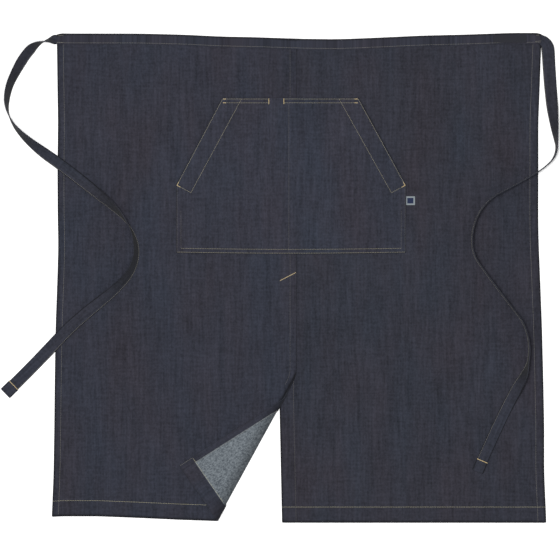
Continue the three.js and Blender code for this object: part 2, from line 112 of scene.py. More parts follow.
def ventEdge(down):
    free = body["length"] - corner["up"] * (1 - lap["width"] / corner["across"])
    return underEdge + lap["lean"] * np.clip((down - free) / (body["length"] - free), 0, 1)


def lapEdge(down):
    # Straight down the centre front, then aside along the slit
    return lap["edge"] - slit["shift"] * ramp(down, slit["start"], slit["end"])


# Heights of the stacked cloths
bandRoom = cloth["ply"] + cloth["gap"]
lapRoom = 2 * cloth["ply"] + cloth["gap"]


def turning(distance, width):
    # 1 on a turned edge, 0 inside it
    return 1 - ramp(distance, width, width + cloth["hemSlope"])


def bandLift(x, down):
    below = down - waistEdge(x) - band["depth"] - cloth["gap"]
    return bandRoom * (1 - np.clip(below / band["ramp"], 0, 1))


def lapLift(x):
    return lapRoom * np.clip((x - underEdge + lap["margin"] + lap["ramp"]) / lap["ramp"], 0, 1)


def overExtra(x, down):
    side = turning(x - sideEdge(-1, down), body["sideHem"])
    inner = turning(lapEdge(down) - x, lap["hem"])
    bottom = turning(hemEdge(-1, x) - down, body["bottomHem"])
    return cloth["ply"] * np.maximum(np.maximum(side, inner), bottom)


def underExtra(x, down):
    side = turning(sideEdge(1, down) - x, body["sideHem"])
    inner = turning(x - ventEdge(down), lap["facing"])
    bottom = turning(hemEdge(1, x) - down, body["bottomHem"])
    return cloth["ply"] * np.maximum(np.maximum(side, inner), bottom)


def overTop(x, down):
    return bandLift(x, down) + lapLift(x) + overExtra(x, down) + cloth["ply"]


def underTop(x, down):
    return bandLift(x, down) + underExtra(x, down) + cloth["ply"]


def coverTop(x, down):
    # The higher panel, with a slope down past the lap's edge
    hold = lap["edge"] + cloth["gap"]
    bridged = overTop(lap["edge"], down) - (lapRoom + cloth["ply"]) * (x - hold) / lap["bridge"]
    over = overTop(np.minimum(x, lap["edge"]), down)
    return np.where(x <= hold, over, np.maximum(underTop(x, down), bridged))


# How the cloth lies: a low unevenness that every layer follows, so stacked cloths stay clear
lie = dict(height=0.0007, waves=9, longest=0.34, shortest=0.09, seed=5)
waveMaker = np.random.default_rng(lie["seed"])
waveAngle = waveMaker.uniform(0, np.pi, lie["waves"])
waveLength = np.geomspace(lie["longest"], lie["shortest"], lie["waves"])
wavePhase = waveMaker.uniform(0, 2 * np.pi, lie["waves"])


def lieHeight(x, y):
    # Sum of long sine waves, weighted by their length and raised to stay above the surface
    total = np.zeros(np.shape(x))
    for angle, length, phase in zip(waveAngle, waveLength, wavePhase):
        along = x * np.cos(angle) + y * np.sin(angle)
        total = total + length * np.sin(2 * np.pi * along / length + phase)
    return lie["height"] * (0.5 + 0.5 * total / waveLength.sum())


def placed(points):
    # From x, up and height on the apron to the frame
    moved = np.array(points, float)
    moved[..., 2] += lieHeight(points[..., 0], points[..., 1])
    moved[..., 0] += middleX
    moved[..., 1] += waistY
    return moved


# Lines of a grid between two edges: fixed distances from each, and even steps between them
def gridLines(lowMarks, highMarks, span, step):
    first, last = lowMarks[-1], highMarks[-1]
    count = max(2, int(np.ceil((span - first - last) / step)))
    share = np.arange(1, count) / count
    weights = np.concatenate([np.zeros(len(lowMarks)), share, np.ones(len(highMarks))])
    offsets = np.concatenate([lowMarks, first * (1 - share) - last * share, -np.array(highMarks[::-1])])
    return weights, offsets


def between(low, high, lines):
    # Each line's own mix of the two edges, plus its offset
    weights, offsets = lines
    return low * (1 - weights) + high * weights + offsets


# A closed shell between a front and a back grid, with a half-round rim.
# Rim: each border point swings from the front to the back, out along tangent x normal.
def shell(front, back, pattern, rimSteps=4, backTag=None, backPattern=None):
    rows, columns = front.shape[:2]
    count = rows * columns
    index = np.arange(count).reshape(rows, columns)
    loop = np.concatenate([index[:-1, 0], index[-1, :-1], index[:0:-1, -1], index[0, :0:-1]])
    quads = np.stack([index[:-1, :-1], index[1:, :-1], index[1:, 1:], index[:-1, 1:]], -1).reshape(-1, 4)
    frontFlat, backFlat = front.reshape(-1, 3), back.reshape(-1, 3)
    middle = (frontFlat[loop] + backFlat[loop]) / 2
    normal = (frontFlat[loop] - backFlat[loop]) / 2
    tangent = np.roll(middle, -1, 0) - np.roll(middle, 1, 0)
    outward = np.cross(tangent, normal)
    outward /= np.maximum(np.linalg.norm(outward, axis=1, keepdims=True), 1e-12)
    reach = np.linalg.norm(normal, axis=1, keepdims=True)
    points, rings = [frontFlat, backFlat], [loop]
    for turn in np.pi * np.arange(1, rimSteps) / rimSteps:
        rings.append(2 * count + len(loop) * (len(points) - 2) + np.arange(len(loop)))
        points.append(middle + np.cos(turn) * normal + np.sin(turn) * reach * outward)
    rings.append(loop + count)
    rim = [np.stack([a, b, np.roll(b, -1), np.roll(a, -1)], -1) for a, b in zip(rings, rings[1:])]
    width = pattern.shape[-1]
    patternFlat = pattern.reshape(-1, width)
    behind = patternFlat if backPattern is None else backPattern.reshape(-1, width)
    patterns = [patternFlat, behind] + [patternFlat[loop]] * (len(points) - 2)
    backTags = np.ones(len(quads), int) if backTag is None else backTag[:-1, :-1].reshape(-1)
    tags = np.concatenate([np.zeros(len(quads), int), backTags, np.zeros(sum(len(r) for r in rim), int)])
    faces = np.concatenate([quads, quads[:, ::-1] + count] + rim)
    return np.concatenate(points), faces, np.concatenate(patterns), tags


joinReach = 2e-6


# A mesh object from arrays: equal points are joined and faces that shrank to a line left out.
# The pattern's first two columns are places on the flat cloth, the third how much painted shade darkens a
# place, kept as the "shade" UV layer (1 on a dark edge).
def makeObject(name, points, faces, pattern, tags, materials):
    keys = np.round(points / joinReach).astype(np.int64)
    first, inverse = np.unique(keys, axis=0, return_index=True, return_inverse=True)[1:]
    faces = inverse.reshape(-1)[faces]
    same = faces == np.roll(faces, -1, axis=1)
    kept = same.sum(axis=1) <= 1
    corners = faces[kept][~same[kept]]
    sizes = faces.shape[1] - same[kept].sum(axis=1)
    mesh = bpy.data.meshes.new(name)
    mesh.vertices.add(len(first))
    mesh.vertices.foreach_set("co", points[first].astype(np.float32).ravel())
    mesh.loops.add(len(corners))
    mesh.loops.foreach_set("vertex_index", corners.astype(np.int32))
    mesh.polygons.add(len(sizes))
    starts = np.concatenate([[0], np.cumsum(sizes)[:-1]])
    mesh.polygons.foreach_set("loop_start", starts.astype(np.int32))
    mesh.update(calc_edges=True)
    for material in materials:
        mesh.materials.append(material)
    mesh.polygons.foreach_set("material_index", tags[kept].astype(np.int32))
    mesh.polygons.foreach_set("use_smooth", np.ones(len(sizes), bool))
    marks = pattern[first][corners].astype(np.float32)
    mesh.uv_layers.new(name="pattern").data.foreach_set("uv", marks[:, :2].ravel())
    if marks.shape[1] > 2:
        shade = np.stack([marks[:, 2], np.zeros(len(corners), np.float32)], -1)
        mesh.uv_layers.new(name="shade").data.foreach_set("uv", shade.ravel())
    mesh.validate()
    piece = bpy.data.objects.new(name, mesh)
    bpy.context.scene.collection.objects.link(piece)
    return piece


def finishPiece(piece, slot, *nodes):
    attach(piece, "root")
    if nodes:
        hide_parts(*nodes)
    return piece


# Materials: node helpers first, then one function for each finish
def addNode(tree, kind, inputs=None, **settings):
    made = tree.nodes.new("ShaderNode" + kind)
    for key, value in settings.items():
        setattr(made, key, value)
    for key, value in (inputs or {}).items():
        if isinstance(value, bpy.types.NodeSocket):
            tree.links.new(value, made.inputs[key])
        else:
            made.inputs[key].default_value = value
    return made


def calc(tree, operation, *values):
    return addNode(tree, "Math", dict(enumerate(values)), operation=operation).outputs[0]


def plus(tree, a, b):
    return calc(tree, "ADD", a, b)


def times(tree, a, b):
    return calc(tree, "MULTIPLY", a, b)


def blendColors(tree, share, a, b):
    held = addNode(tree, "Clamp", {0: share}).outputs[0]
    return addNode(tree, "Mix", {0: held, 6: a, 7: b}, data_type="RGBA").outputs[2]


def scaleColor(tree, color, share):
    return addNode(tree, "VectorMath", {0: color, "Scale": share}, operation="SCALE").outputs[0]


def patternMap(tree, name="pattern"):
    return addNode(tree, "UVMap", uv_map=name).outputs[0]


def noiseAt(tree, where, scale, detail=2.0, roughness=0.5):
    settings = {"Vector": where, "Scale": scale, "Detail": detail, "Roughness": roughness}
    return addNode(tree, "TexNoise", settings).outputs[0]


def streaks(tree, where, width, length, place, detail=2.0):
    # Noise drawn out to the given width and length on the cloth, less its mean
    mapping = addNode(tree, "Mapping", {"Vector": where, "Location": (place, place * 2.3, place),
                                        "Scale": (1 / width, 1 / length, 1)})
    noise = noiseAt(tree, mapping.outputs[0], 1.0, detail, roughness=0.55)
    return calc(tree, "SUBTRACT", noise, 0.5)


def newMaterial(name, roughness, sheen, specular):
    material = bpy.data.materials.new(name)
    material.use_nodes = True
    tree = material.node_tree
    shader = tree.nodes["Principled BSDF"]
    shader.inputs["Roughness"].default_value = roughness
    shader.inputs["Sheen Weight"].default_value = sheen
    shader.inputs["Sheen Roughness"].default_value = 0.6
    shader.inputs["Specular IOR Level"].default_value = specular
    return material, tree, shader


def addBump(tree, shader, height, distance, strength):
    bump = addNode(tree, "Bump", {"Height": height, "Distance": distance, "Strength": strength})
    tree.links.new(bump.outputs[0], shader.inputs["Normal"])


def ribs(tree, where, across, along, pitch):
    # Sine ribs at a slant: the phase grows by across times x plus along times y
    parts = addNode(tree, "SeparateXYZ", {0: where})
    phase = plus(tree, times(tree, parts.outputs[0], across), times(tree, parts.outputs[1], along))
    return calc(tree, "SINE", times(tree, phase, 2 * np.pi / pitch))


def darkened(tree, color, strength):
    # The colour times one less the strength times the piece's painted shade from its "shade" layer, which
    # is 1 on folded edges
    parts = addNode(tree, "SeparateXYZ", {0: patternMap(tree, "shade")})
    return scaleColor(tree, color, calc(tree, "SUBTRACT", 1.0, times(tree, parts.outputs[0], strength)))


# Shares of each streak in the tone, the strength of the painted shade on edges and folds (edge), and the
# ribs' pitch and slant
denimLook = dict(grain=0.98, fine=0.94, middle=0.36, broad=0.28, weft=0.56, speck=0.10,
                 tint=1.9, middleTint=0.3, edge=0.75, twillPitch=0.00095, twillSlant=-0.62,
                 yarnPitch=0.00042, twillRise=-0.5, yarnRise=0.3, fineRise=2.0)
# Width and length of each streak on the cloth, its place in the noise and its detail
denimStreaks = dict(
    grain=(0.0036, 0.0048, 7.3, 2.0),
    fine=(0.0042, 0.055, 1.7, 2.0),
    middle=(0.012, 0.16, 5.1, 2.0),
    broad=(0.075, 0.21, 9.4, 1.0),
    weft=(0.030, 0.0040, 3.3, 2.0),
    tint=(0.075, 0.20, 14.2, 1.0),
)


def denimMaterial(name, cool, warm, offset):
    # Indigo that drifts between two tones, with slub streaks, a steep twill and fine yarns, darkened by
    # painted shade on edges and folds
    material, tree, shader = newMaterial(name, roughness=0.92, sheen=0.05, specular=0.12)
    where, look = patternMap(tree), denimLook
    parts = {key: streaks(tree, where, width, length, offset + place, detail)
             for key, (width, length, place, detail) in denimStreaks.items()}
    tint = plus(tree, parts["tint"], times(tree, parts["middle"], look["middleTint"]))
    tint = calc(tree, "MULTIPLY_ADD", tint, look["tint"], 0.5)
    shade = times(tree, parts["fine"], look["fine"])
    for key in ("grain", "middle", "broad", "weft"):
        shade = plus(tree, shade, times(tree, parts[key], look[key]))
    twill = ribs(tree, where, 1.0, look["twillSlant"], look["twillPitch"])
    yarn = ribs(tree, where, 1.0, 0.0, look["yarnPitch"])
    specks = times(tree, calc(tree, "MAXIMUM", twill, 0.0), look["speck"])
    shade = plus(tree, plus(tree, shade, specks), 1.0)
    color = scaleColor(tree, blendColors(tree, tint, cool, warm), shade)
    # Base colour darkened by painted shade on edges, folds and leaning tie faces
    tree.links.new(darkened(tree, color, look["edge"]), shader.inputs["Base Color"])
    height = plus(tree, times(tree, twill, look["twillRise"]), times(tree, yarn, look["yarnRise"]))
    height = plus(tree, height, times(tree, parts["fine"], look["fineRise"]))
    addBump(tree, shader, height, distance=0.00012, strength=0.6)
    return material


# edge: how strongly painted shade darkens the wrong side by its edges and the fold
wrongLook = dict(mottle=1.9, twill=0.10, twillSlant=0.62, edge=0.75,
                 coarse=(0.0036, 0.0036, 2.2, 3.0), fine=(0.0016, 0.006, 7.7, 2.0))


def wrongSideMaterial(name, pale, deep):
    # The undyed weft side: pale, with a fine dark mottle and the twill seen from behind, darkened by
    # painted shade near its edges and the fold
    material, tree, shader = newMaterial(name, roughness=0.95, sheen=0.08, specular=0.1)
    where, look = patternMap(tree), wrongLook
    mottle = plus(tree, streaks(tree, where, *look["coarse"]), streaks(tree, where, *look["fine"]))
    twill = ribs(tree, where, 1.0, look["twillSlant"], denimLook["twillPitch"])
    share = plus(tree, times(tree, mottle, look["mottle"]), times(tree, twill, look["twill"]))
    color = blendColors(tree, plus(tree, share, 0.5), deep, pale)
    tree.links.new(darkened(tree, color, look["edge"]), shader.inputs["Base Color"])
    addBump(tree, shader, plus(tree, twill, mottle), distance=0.00012, strength=0.6)
    return material


threadLook = dict(toneScale=90.0, twistScale=2500.0)


def threadMaterial(name, color, shade):
    # Thread that drifts between two tones, with the fine bumps of its twist
    material, tree, shader = newMaterial(name, roughness=0.6, sheen=0.1, specular=0.3)
    where = addNode(tree, "TexCoord").outputs["Object"]
    tone = blendColors(tree, noiseAt(tree, where, threadLook["toneScale"]), color, shade)
    tree.links.new(tone, shader.inputs["Base Color"])
    twist = noiseAt(tree, where, threadLook["twistScale"])
    addBump(tree, shader, twist, distance=0.00005, strength=0.5)
    return material


labelLook = dict(grain=(0.003, 0.0008, 4.0), ribPitch=0.0006)


def labelMaterial(name, field, fleck):
    # A woven label: fine ribs across it and a grain between two close tones
    material, tree, shader = newMaterial(name, roughness=0.85, sheen=0.03, specular=0.12)
    where = patternMap(tree)
    grain = plus(tree, streaks(tree, where, *labelLook["grain"]), 0.5)
    tree.links.new(blendColors(tree, grain, field, fleck), shader.inputs["Base Color"])
    rib = ribs(tree, where, 0.0, 1.0, labelLook["ribPitch"])
    addBump(tree, shader, rib, distance=0.0001, strength=0.5)
    return material


denimLeft = denimMaterial(
    "denim left panel", cool=(0.0187, 0.0220, 0.0329, 1), warm=(0.0220, 0.0208, 0.0288, 1), offset=0.0)
denimRight = denimMaterial(
    "denim right panel", cool=(0.0186, 0.0218, 0.0316, 1), warm=(0.0219, 0.0203, 0.0276, 1), offset=21.0)
denimPocket = denimMaterial(
    "denim pocket", cool=(0.0200, 0.0234, 0.0347, 1), warm=(0.0233, 0.0219, 0.0306, 1), offset=43.0)
denimBand = denimMaterial(
    "denim waistband", cool=(0.0196, 0.0225, 0.0329, 1), warm=(0.0224, 0.0212, 0.0291, 1), offset=64.0)
denimTie = denimMaterial(
    "denim ties", cool=(0.0189, 0.0214, 0.0312, 1), warm=(0.0207, 0.0206, 0.0286, 1), offset=85.0)
denimWrong = wrongSideMaterial("denim wrong side", (0.1576, 0.1786, 0.1958, 1), (0.0478, 0.0573, 0.0688, 1))
# One tan topstitch thread in four tones: its tan colour is real, the steps from bright to dark between rows
# are painted light and shade for how each row catches the light
brightPaintedThread = threadMaterial("topstitch thread painted bright", (0.48, 0.45, 0.29, 1), (0.39, 0.365, 0.24, 1))
midPaintedThread = threadMaterial("topstitch thread painted mid", (0.37, 0.34, 0.225, 1), (0.27, 0.25, 0.17, 1))
dimPaintedThread = threadMaterial("topstitch thread painted dim", (0.215, 0.205, 0.175, 1), (0.145, 0.14, 0.125, 1))
darkPaintedThread = threadMaterial("topstitch thread painted dark", (0.120, 0.113, 0.098, 1), (0.068, 0.067, 0.070, 1))
goldThread = threadMaterial("gold bar tack thread", (0.54, 0.38, 0.150, 1), (0.52, 0.45, 0.29, 1))
labelDark = labelMaterial("woven waistband label", (0.0140, 0.0146, 0.0195, 1), (0.0225, 0.0230, 0.0290, 1))
tagDark = labelMaterial("woven tag middle", (0.010, 0.015, 0.042, 1), (0.018, 0.027, 0.060, 1))
tagPale = labelMaterial("woven tag border", (0.15, 0.175, 0.185, 1), (0.22, 0.245, 0.26, 1))
print("materials made")

# Seams draw the cloth down in a narrow dip, and a hem ropes slightly along its stitching
seam = dict(dip=0.00022, width=0.0013, rope=0.00012, ropeLength=0.017, ropeSlant=0.7,
            threadLift=0.00012)
stitch = dict(sideLeft=0.0126, sideRight=0.0162, bottom=0.0308, lap=0.0113, facing=0.0275, waist=0.0189)


def dip(distance):
    # A bell curve with its low point on the stitching
    return -seam["dip"] * np.exp(-(distance / seam["width"]) ** 2)


def roping(along, distance, width):
    # Slanted ripples between the edge and its stitching: a sine wave, strongest half way between them
    inside = np.clip(1 - np.abs(distance - width / 2) / (width / 2), 0, 1)
    phase = (along + seam["ropeSlant"] * distance) / seam["ropeLength"]
    return seam["rope"] * inside * np.sin(2 * np.pi * phase)


def overRelief(x, down):
    side = x - sideEdge(-1, down)
    bottom = hemEdge(-1, x) - down
    inner = lapEdge(down) - x
    return (dip(side - stitch["sideLeft"]) + dip(bottom - stitch["bottom"]) + dip(inner - stitch["lap"])
            + roping(down, side, stitch["sideLeft"]) + roping(x, bottom, stitch["bottom"]))


def underRelief(x, down):
    side = sideEdge(1, down) - x
    bottom = hemEdge(1, x) - down
    return (dip(side - stitch["sideRight"]) + dip(bottom - stitch["bottom"])
            + roping(down, side, stitch["sideRight"]) + roping(x, bottom, stitch["bottom"]))


# Over panel: flat up to the fold, half round it, and back over itself
foldTop = np.array([lap["edge"], hemEdge(-1, lap["edge"]) - corner["up"]])
footX = lap["edge"] - corner["across"]
foldFoot = np.array([footX, hemEdge(-1, footX)])
foldRun = foldFoot - foldTop
foldNormal = np.array([foldRun[1], -foldRun[0]]) / np.hypot(*foldRun)


def foldX(down):
    # The fold line's x at a place down the apron
    return foldTop[0] + (down - foldTop[1]) * foldRun[0] / foldRun[1]


def overSurface(x, down, lift):
    # Flat cloth at x and down, raised by lift from its middle, carried round the fold:
    # a half circle of the corner's radius, wider in the thick hem, then back over the panel
    beyond = np.maximum(0, (x - foldTop[0]) * foldNormal[0] + (down - foldTop[1]) * foldNormal[1])
    footXs, footDowns = x - beyond * foldNormal[0], down - beyond * foldNormal[1]
    base = overTop(footXs, footDowns) - cloth["ply"] / 2
    inHem = turning(hemEdge(-1, footXs) - footDowns, body["bottomHem"])
    radius = corner["radius"] + cloth["ply"] / 2 * inHem
    angle = np.minimum(beyond / radius, np.pi)
    back = np.maximum(0, beyond - np.pi * radius)
    out = radius * np.sin(angle) - back - lift * np.sin(angle)
    height = base + radius * (1 - np.cos(angle)) + lift * np.cos(angle)
    height = height - corner["settle"] * ramp(back, 0, corner["settleRun"])
    return np.stack([footXs + out * foldNormal[0], -(footDowns + out * foldNormal[1]), height], -1)


rimRoom = cloth["ply"]  # the rounded edge of a two-ply hem reaches this far past the flat cloth
# Steps of the panels' grids, the marks that crowd in hems and facings, and the rounds of solving
grid = dict(row=0.0046, column=0.0052, flap=0.0036, hemRows=[.006, .014, .022], hemFoot=0.034,
            facing=[.004, .012, .020, .0263, .0275, .0287, .032], foldSteps=8, turnedRoom=0.004,
            overSpan=0.46, underSpan=0.5, overStart=-0.45, underStart=0.47, seamRim=0.001,
            foldRim=0.002, overRounds=8, underRounds=4, shadeWidth=0.0030, hemRim=[.0035, .007],
            hemSeam=[-.0025, -.0012, 0, .0012, .0028])


def aroundSeam(inset, before=.0014, after=.0016):
    # Three grid lines that carry the dip of one row of stitching
    return [inset - before, inset, inset + after]


def panelRows():
    top = [band["depth"] - band["insert"], band["depth"] + cloth["gap"], band["depth"] + band["ramp"]]
    foot = [rimRoom, *grid["hemRows"], *aroundSeam(stitch["bottom"]), grid["hemFoot"]]
    return gridLines(top, foot, body["length"], grid["row"])


def edgeShade(distance):
    # Painted shade: 1 on the rounded edge, fading to 0 within a short width
    return np.clip(1 - (distance - rimRoom) / grid["shadeWidth"], 0, 1)


def withShade(x, down, *shades):
    # The pattern of a sheet: its place on the flat cloth, and the strongest of its painted edge shades
    return np.stack([x, -down, np.maximum.reduce(shades)], -1)


def hemMarks(inset):
    # Grid lines that crowd at a hem's edge and round its stitching
    return [rimRoom, *grid["hemRim"], *(inset + step for step in grid["hemSeam"])]


def buildOverPanel():
    rowLines = panelRows()
    lapMarks = hemMarks(stitch["lap"])
    leftLines = gridLines(hemMarks(stitch["sideLeft"]), lapMarks, grid["overSpan"], grid["column"])
    foldShares = np.arange(0, grid["foldSteps"] + 1) / grid["foldSteps"]
    roll = list(np.pi * corner["radius"] * foldShares / foldNormal[0])
    rightLines = gridLines(roll[1:], lapMarks, corner["across"], grid["flap"])
    need = roll[-1] + stitch["lap"] + grid["turnedRoom"]
    cut, count = len(leftLines[0]), len(leftLines[0]) + len(rightLines[0])
    x = np.tile(np.linspace(grid["overStart"], lap["edge"], count), (len(rowLines[0]), 1))
    # Rows and columns follow edges that bend with each other, so both are solved by turns
    for _ in range(grid["overRounds"]):
        down = between(waistEdge(x), hemEdge(-1, x), [line[:, None] for line in rowLines])
        edge = lapEdge(down)
        turn = np.minimum(foldX(down), edge)
        narrow = np.clip((edge - turn)[:, cut:] / need, 0, 1)
        left = between(sideEdge(-1, down[:, :cut]), turn[:, :cut], leftLines)
        right = between(turn[:, cut:], edge[:, cut:], (rightLines[0], rightLines[1] * narrow))
        x = np.concatenate([left, right], 1)
    extra = overExtra(x, down)
    front = overSurface(x, down, cloth["ply"] / 2 + overRelief(x, down))
    back = overSurface(x, down, -cloth["ply"] / 2 - extra)
    side, bottom, inner = x - sideEdge(-1, down), hemEdge(-1, x) - down, edge - x
    turned = (side < body["sideHem"]) | (bottom < body["bottomHem"] - grid["seamRim"])
    turned |= (inner < lap["hem"]) | (edge - turn < grid["foldRim"])
    # Painted shade: dark on the side, hem and lap edges, weak on the turned flap, stronger towards the
    # slit, a line on the fold, and on the wrong side a broad dark band by the fold
    past = (x - foldX(down)) * foldNormal[0]
    onFlap = np.where(past > 0, corner["turnedShade"], 1)
    toSlit = ramp(down, slit["shadeStart"], slit["end"])
    innerShade = corner["lapShade"] + (corner["slitShade"] - corner["lapShade"]) * toSlit
    rims = [edgeShade(side), onFlap * edgeShade(bottom), onFlap * innerShade * edgeShade(inner)]
    nearFold = corner["foldShade"] * np.clip(1 - np.abs(past) / corner["shadeRun"], 0, 1)
    pattern = withShade(x, down, *rims, edgeShade(np.abs(past)))
    solid = shell(placed(front), placed(back), pattern, backTag=(~turned).astype(int),
                  backPattern=withShade(x, down, *rims, nearFold))
    piece = makeObject("overPanel", *solid, [denimLeft, denimWrong])
    return finishPiece(piece, "denim_left", "over_panel")


overPanel = buildOverPanel()
print("over panel made")


def buildUnderPanel():
    rowLines = panelRows()
    inside = [rimRoom, *grid["facing"]]
    columnLines = gridLines(inside, hemMarks(stitch["sideRight"]), grid["underSpan"], grid["column"])
    x = np.tile(np.linspace(underEdge, grid["underStart"], len(columnLines[0])), (len(rowLines[0]), 1))
    for _ in range(grid["underRounds"]):
        down = between(waistEdge(x), hemEdge(1, x), [line[:, None] for line in rowLines])
        x = between(ventEdge(down), sideEdge(1, down), columnLines)
    side, bottom, inner = sideEdge(1, down) - x, hemEdge(1, x) - down, x - ventEdge(down)
    facingDip = ramp(down, lap["revealStart"], lap["revealEnd"]) * dip(inner - stitch["facing"])
    front = np.stack([x, -down, underTop(x, down) + underRelief(x, down) + facingDip], -1)
    back = np.stack([x, -down, bandLift(x, down)], -1)
    turned = (side < body["sideHem"]) | (bottom < body["bottomHem"] - grid["seamRim"])
    turned |= inner < lap["facing"]
    # Painted shade along the side, hem and vent edges
    pattern = withShade(x, down, edgeShade(side), edgeShade(bottom), edgeShade(inner))
    solid = shell(placed(front), placed(back), pattern, backTag=(~turned).astype(int))
    piece = makeObject("underPanel", *solid, [denimRight, denimWrong])
    return finishPiece(piece, "denim_right", "under_panel")


underPanel = buildUnderPanel()
print("under panel made")

# Pocket
pocket = dict(width=0.447, height=0.301, drop=0.127, shift=-0.0153, mouthDown=0.169,
              facing=0.032, slotWidth=0.0273, slotInset=0.0107, slotGape=0.0030, slotDepth=0.070,
              slotFade=0.4, divider=0.0137, fullness=0.0026, seamFlat=0.004, fullnessRun=0.040,
              edgeStitch=0.0014, innerStitch=0.0088, bow=0.0022, edgeShade=0.55, innerLean=0.0022,
              seamBlend=0.002, row=0.0034, column=0.0042, columnSpan=0.4, facingMarks=[.016, .024],
              aboveFoot=[0, .002], belowFoot=[.002, .004], sideRowStarts=(0.003, 0.050))
pocketLeft = pocket["shift"] - pocket["width"] / 2
pocketRight = pocket["shift"] + pocket["width"] / 2
pocketBottom = pocket["drop"] + pocket["height"]
mouthFoot = pocket["drop"] + pocket["mouthDown"]
dividerX = lap["edge"] - pocket["divider"]
slotRight = dividerX - pocket["slotInset"]
slotLeft = slotRight - pocket["slotWidth"]
mouthAcross = {-1: 0.0892, 1: 0.0920}  # how far each slanted mouth runs in from its side
mouthSlant = {side: np.hypot(across, pocket["mouthDown"]) for side, across in mouthAcross.items()}

sewnLines = [
    (pocketLeft + mouthAcross[-1], pocket["drop"], slotLeft, pocket["drop"]),
    (slotRight, pocket["drop"], pocketRight - mouthAcross[1], pocket["drop"]),
    (pocketLeft, mouthFoot, pocketLeft, pocketBottom),
    (pocketLeft, pocketBottom, pocketRight, pocketBottom),
    (pocketRight, mouthFoot, pocketRight, pocketBottom),
    (dividerX, pocket["drop"], dividerX, pocketBottom),
]


def distanceToLine(line, x, down):
    # From a point to the nearest point of a straight line between two ends
    runX, runDown = line[2] - line[0], line[3] - line[1]
    along = (x - line[0]) * runX + (down - line[1]) * runDown
    share = np.clip(along / (runX ** 2 + runDown ** 2), 0, 1)
    return np.hypot(x - line[0] - share * runX, down - line[1] - share * runDown)


def fullness(x, down):
    # Zero along the sewn lines, full between them, with the pen slot's gape at the top edge
    sewn = np.min([distanceToLine(line, x, down) for line in sewnLines], axis=0)
    fromSlot = (x - (slotLeft + slotRight) / 2) / (pocket["slotWidth"] / 2)
    fade = 1 - ramp((down - pocket["drop"]) / pocket["slotDepth"], pocket["slotFade"], 1)
    gape = pocket["slotGape"] * np.clip(1 - fromSlot ** 2, 0, 1) * fade
    return np.maximum(pocket["fullness"] * ramp(sewn - pocket["seamFlat"], 0, pocket["fullnessRun"]), gape)


def insideMouth(side, x, down):
    # Distance in from the slanted mouth's edge
    foot = pocketLeft if side < 0 else pocketRight
    inward = -side * (x - foot) * pocket["mouthDown"] + (down - mouthFoot) * mouthAcross[side]
    return inward / mouthSlant[side]


def pocketRelief(x, down):
    mouth = np.minimum(insideMouth(-1, x, down), insideMouth(1, x, down))
    sides = np.minimum(x - pocketLeft, pocketRight - x)
    bottom = pocketBottom - down
    below = ramp(down, mouthFoot - pocket["seamBlend"], mouthFoot + pocket["seamBlend"])
    return (dip(mouth - pocket["edgeStitch"]) + dip(mouth - pocket["facing"]) + dip(x - dividerX)
            + dip(bottom - pocket["edgeStitch"]) + dip(bottom - pocket["innerStitch"])
            + below * (dip(sides - pocket["edgeStitch"]) + dip(sides - pocket["innerStitch"])))


def pocketTop(x, down):
    mouth = np.minimum(insideMouth(-1, x, down), insideMouth(1, x, down))
    lower = coverTop(x, down) + cloth["gap"] + fullness(x, down)
    return lower + cloth["ply"] * (1 + turning(mouth, pocket["facing"])) + pocketRelief(x, down)


def pocketEdge(side, down):
    share = np.clip((mouthFoot - down) / pocket["mouthDown"], 0, 1)
    return (pocketLeft if side < 0 else pocketRight) - side * mouthAcross[side] * share


def bowed(x, down):
    # The sewn pocket sags a little towards its middle at the bottom
    across = (x - pocketLeft) / pocket["width"]
    return down + pocket["bow"] * np.sin(np.pi * across) * ramp(down, mouthFoot, pocketBottom)


def buildPocket():
    edge, inner = pocket["edgeStitch"], pocket["innerStitch"]
    seamMarks = [0, edge, edge + .0016, *aroundSeam(inner, after=.0014)]
    lowerSpan = pocket["height"] - pocket["mouthDown"]
    upper = gridLines(seamMarks, pocket["aboveFoot"], pocket["mouthDown"], pocket["row"])
    lower = gridLines(pocket["belowFoot"], seamMarks, lowerSpan, pocket["row"])
    rows = [between(pocket["drop"], mouthFoot, upper), between(mouthFoot, pocketBottom, lower)]
    facing = pocket["facing"] * mouthSlant[-1] / pocket["mouthDown"]
    marks = seamMarks + pocket["facingMarks"] + aroundSeam(facing, before=.0016)
    columnLines = gridLines(marks, marks, pocket["columnSpan"], pocket["column"])
    rowDowns = np.concatenate(rows)[:, None]
    x = between(pocketEdge(-1, rowDowns), pocketEdge(1, rowDowns), columnLines)
    down = np.broadcast_to(rowDowns, x.shape)
    low = coverTop(x, down) + cloth["gap"] + fullness(x, down)
    flat = bowed(x, down)
    front = np.stack([x, -flat, pocketTop(x, down)], -1)
    back = np.stack([x, -flat, low], -1)
    rim = np.minimum.reduce([x - pocketEdge(-1, down), pocketEdge(1, down) - x, pocketBottom - down])
    # Painted shade along the pocket's edges, fading out by its edge stitching
    pattern = withShade(x, down, pocket["edgeShade"] * np.clip(1 - rim / edge, 0, 1))
    solid = shell(placed(front), placed(back), pattern)
    piece = makeObject("pocketPatch", *solid, [denimPocket, denimWrong])
    return finishPiece(piece, "denim_pocket", "pocket")


pocketPatch = buildPocket()
print("pocket made")

# Waistband: a folded casing over the panels' top edges and the ties' roots
tie = dict(width=0.0218, thickness=0.0018, rootInsert=0.012, rootDrop=0.0116, rootSlack=0.002,
           endTurn=0.022, endRamp=0.002, endBulk=0.0007, settleRun=0.034, step=0.003,
           reachBack=0.021, blur=0.0105, stitchInset=0.0017, stitchStart=0.012, seamRim=0.001,
           tackEdge=0.0008, tackReach=0.0009, tackSlant=0.0003, tackThreads=36)
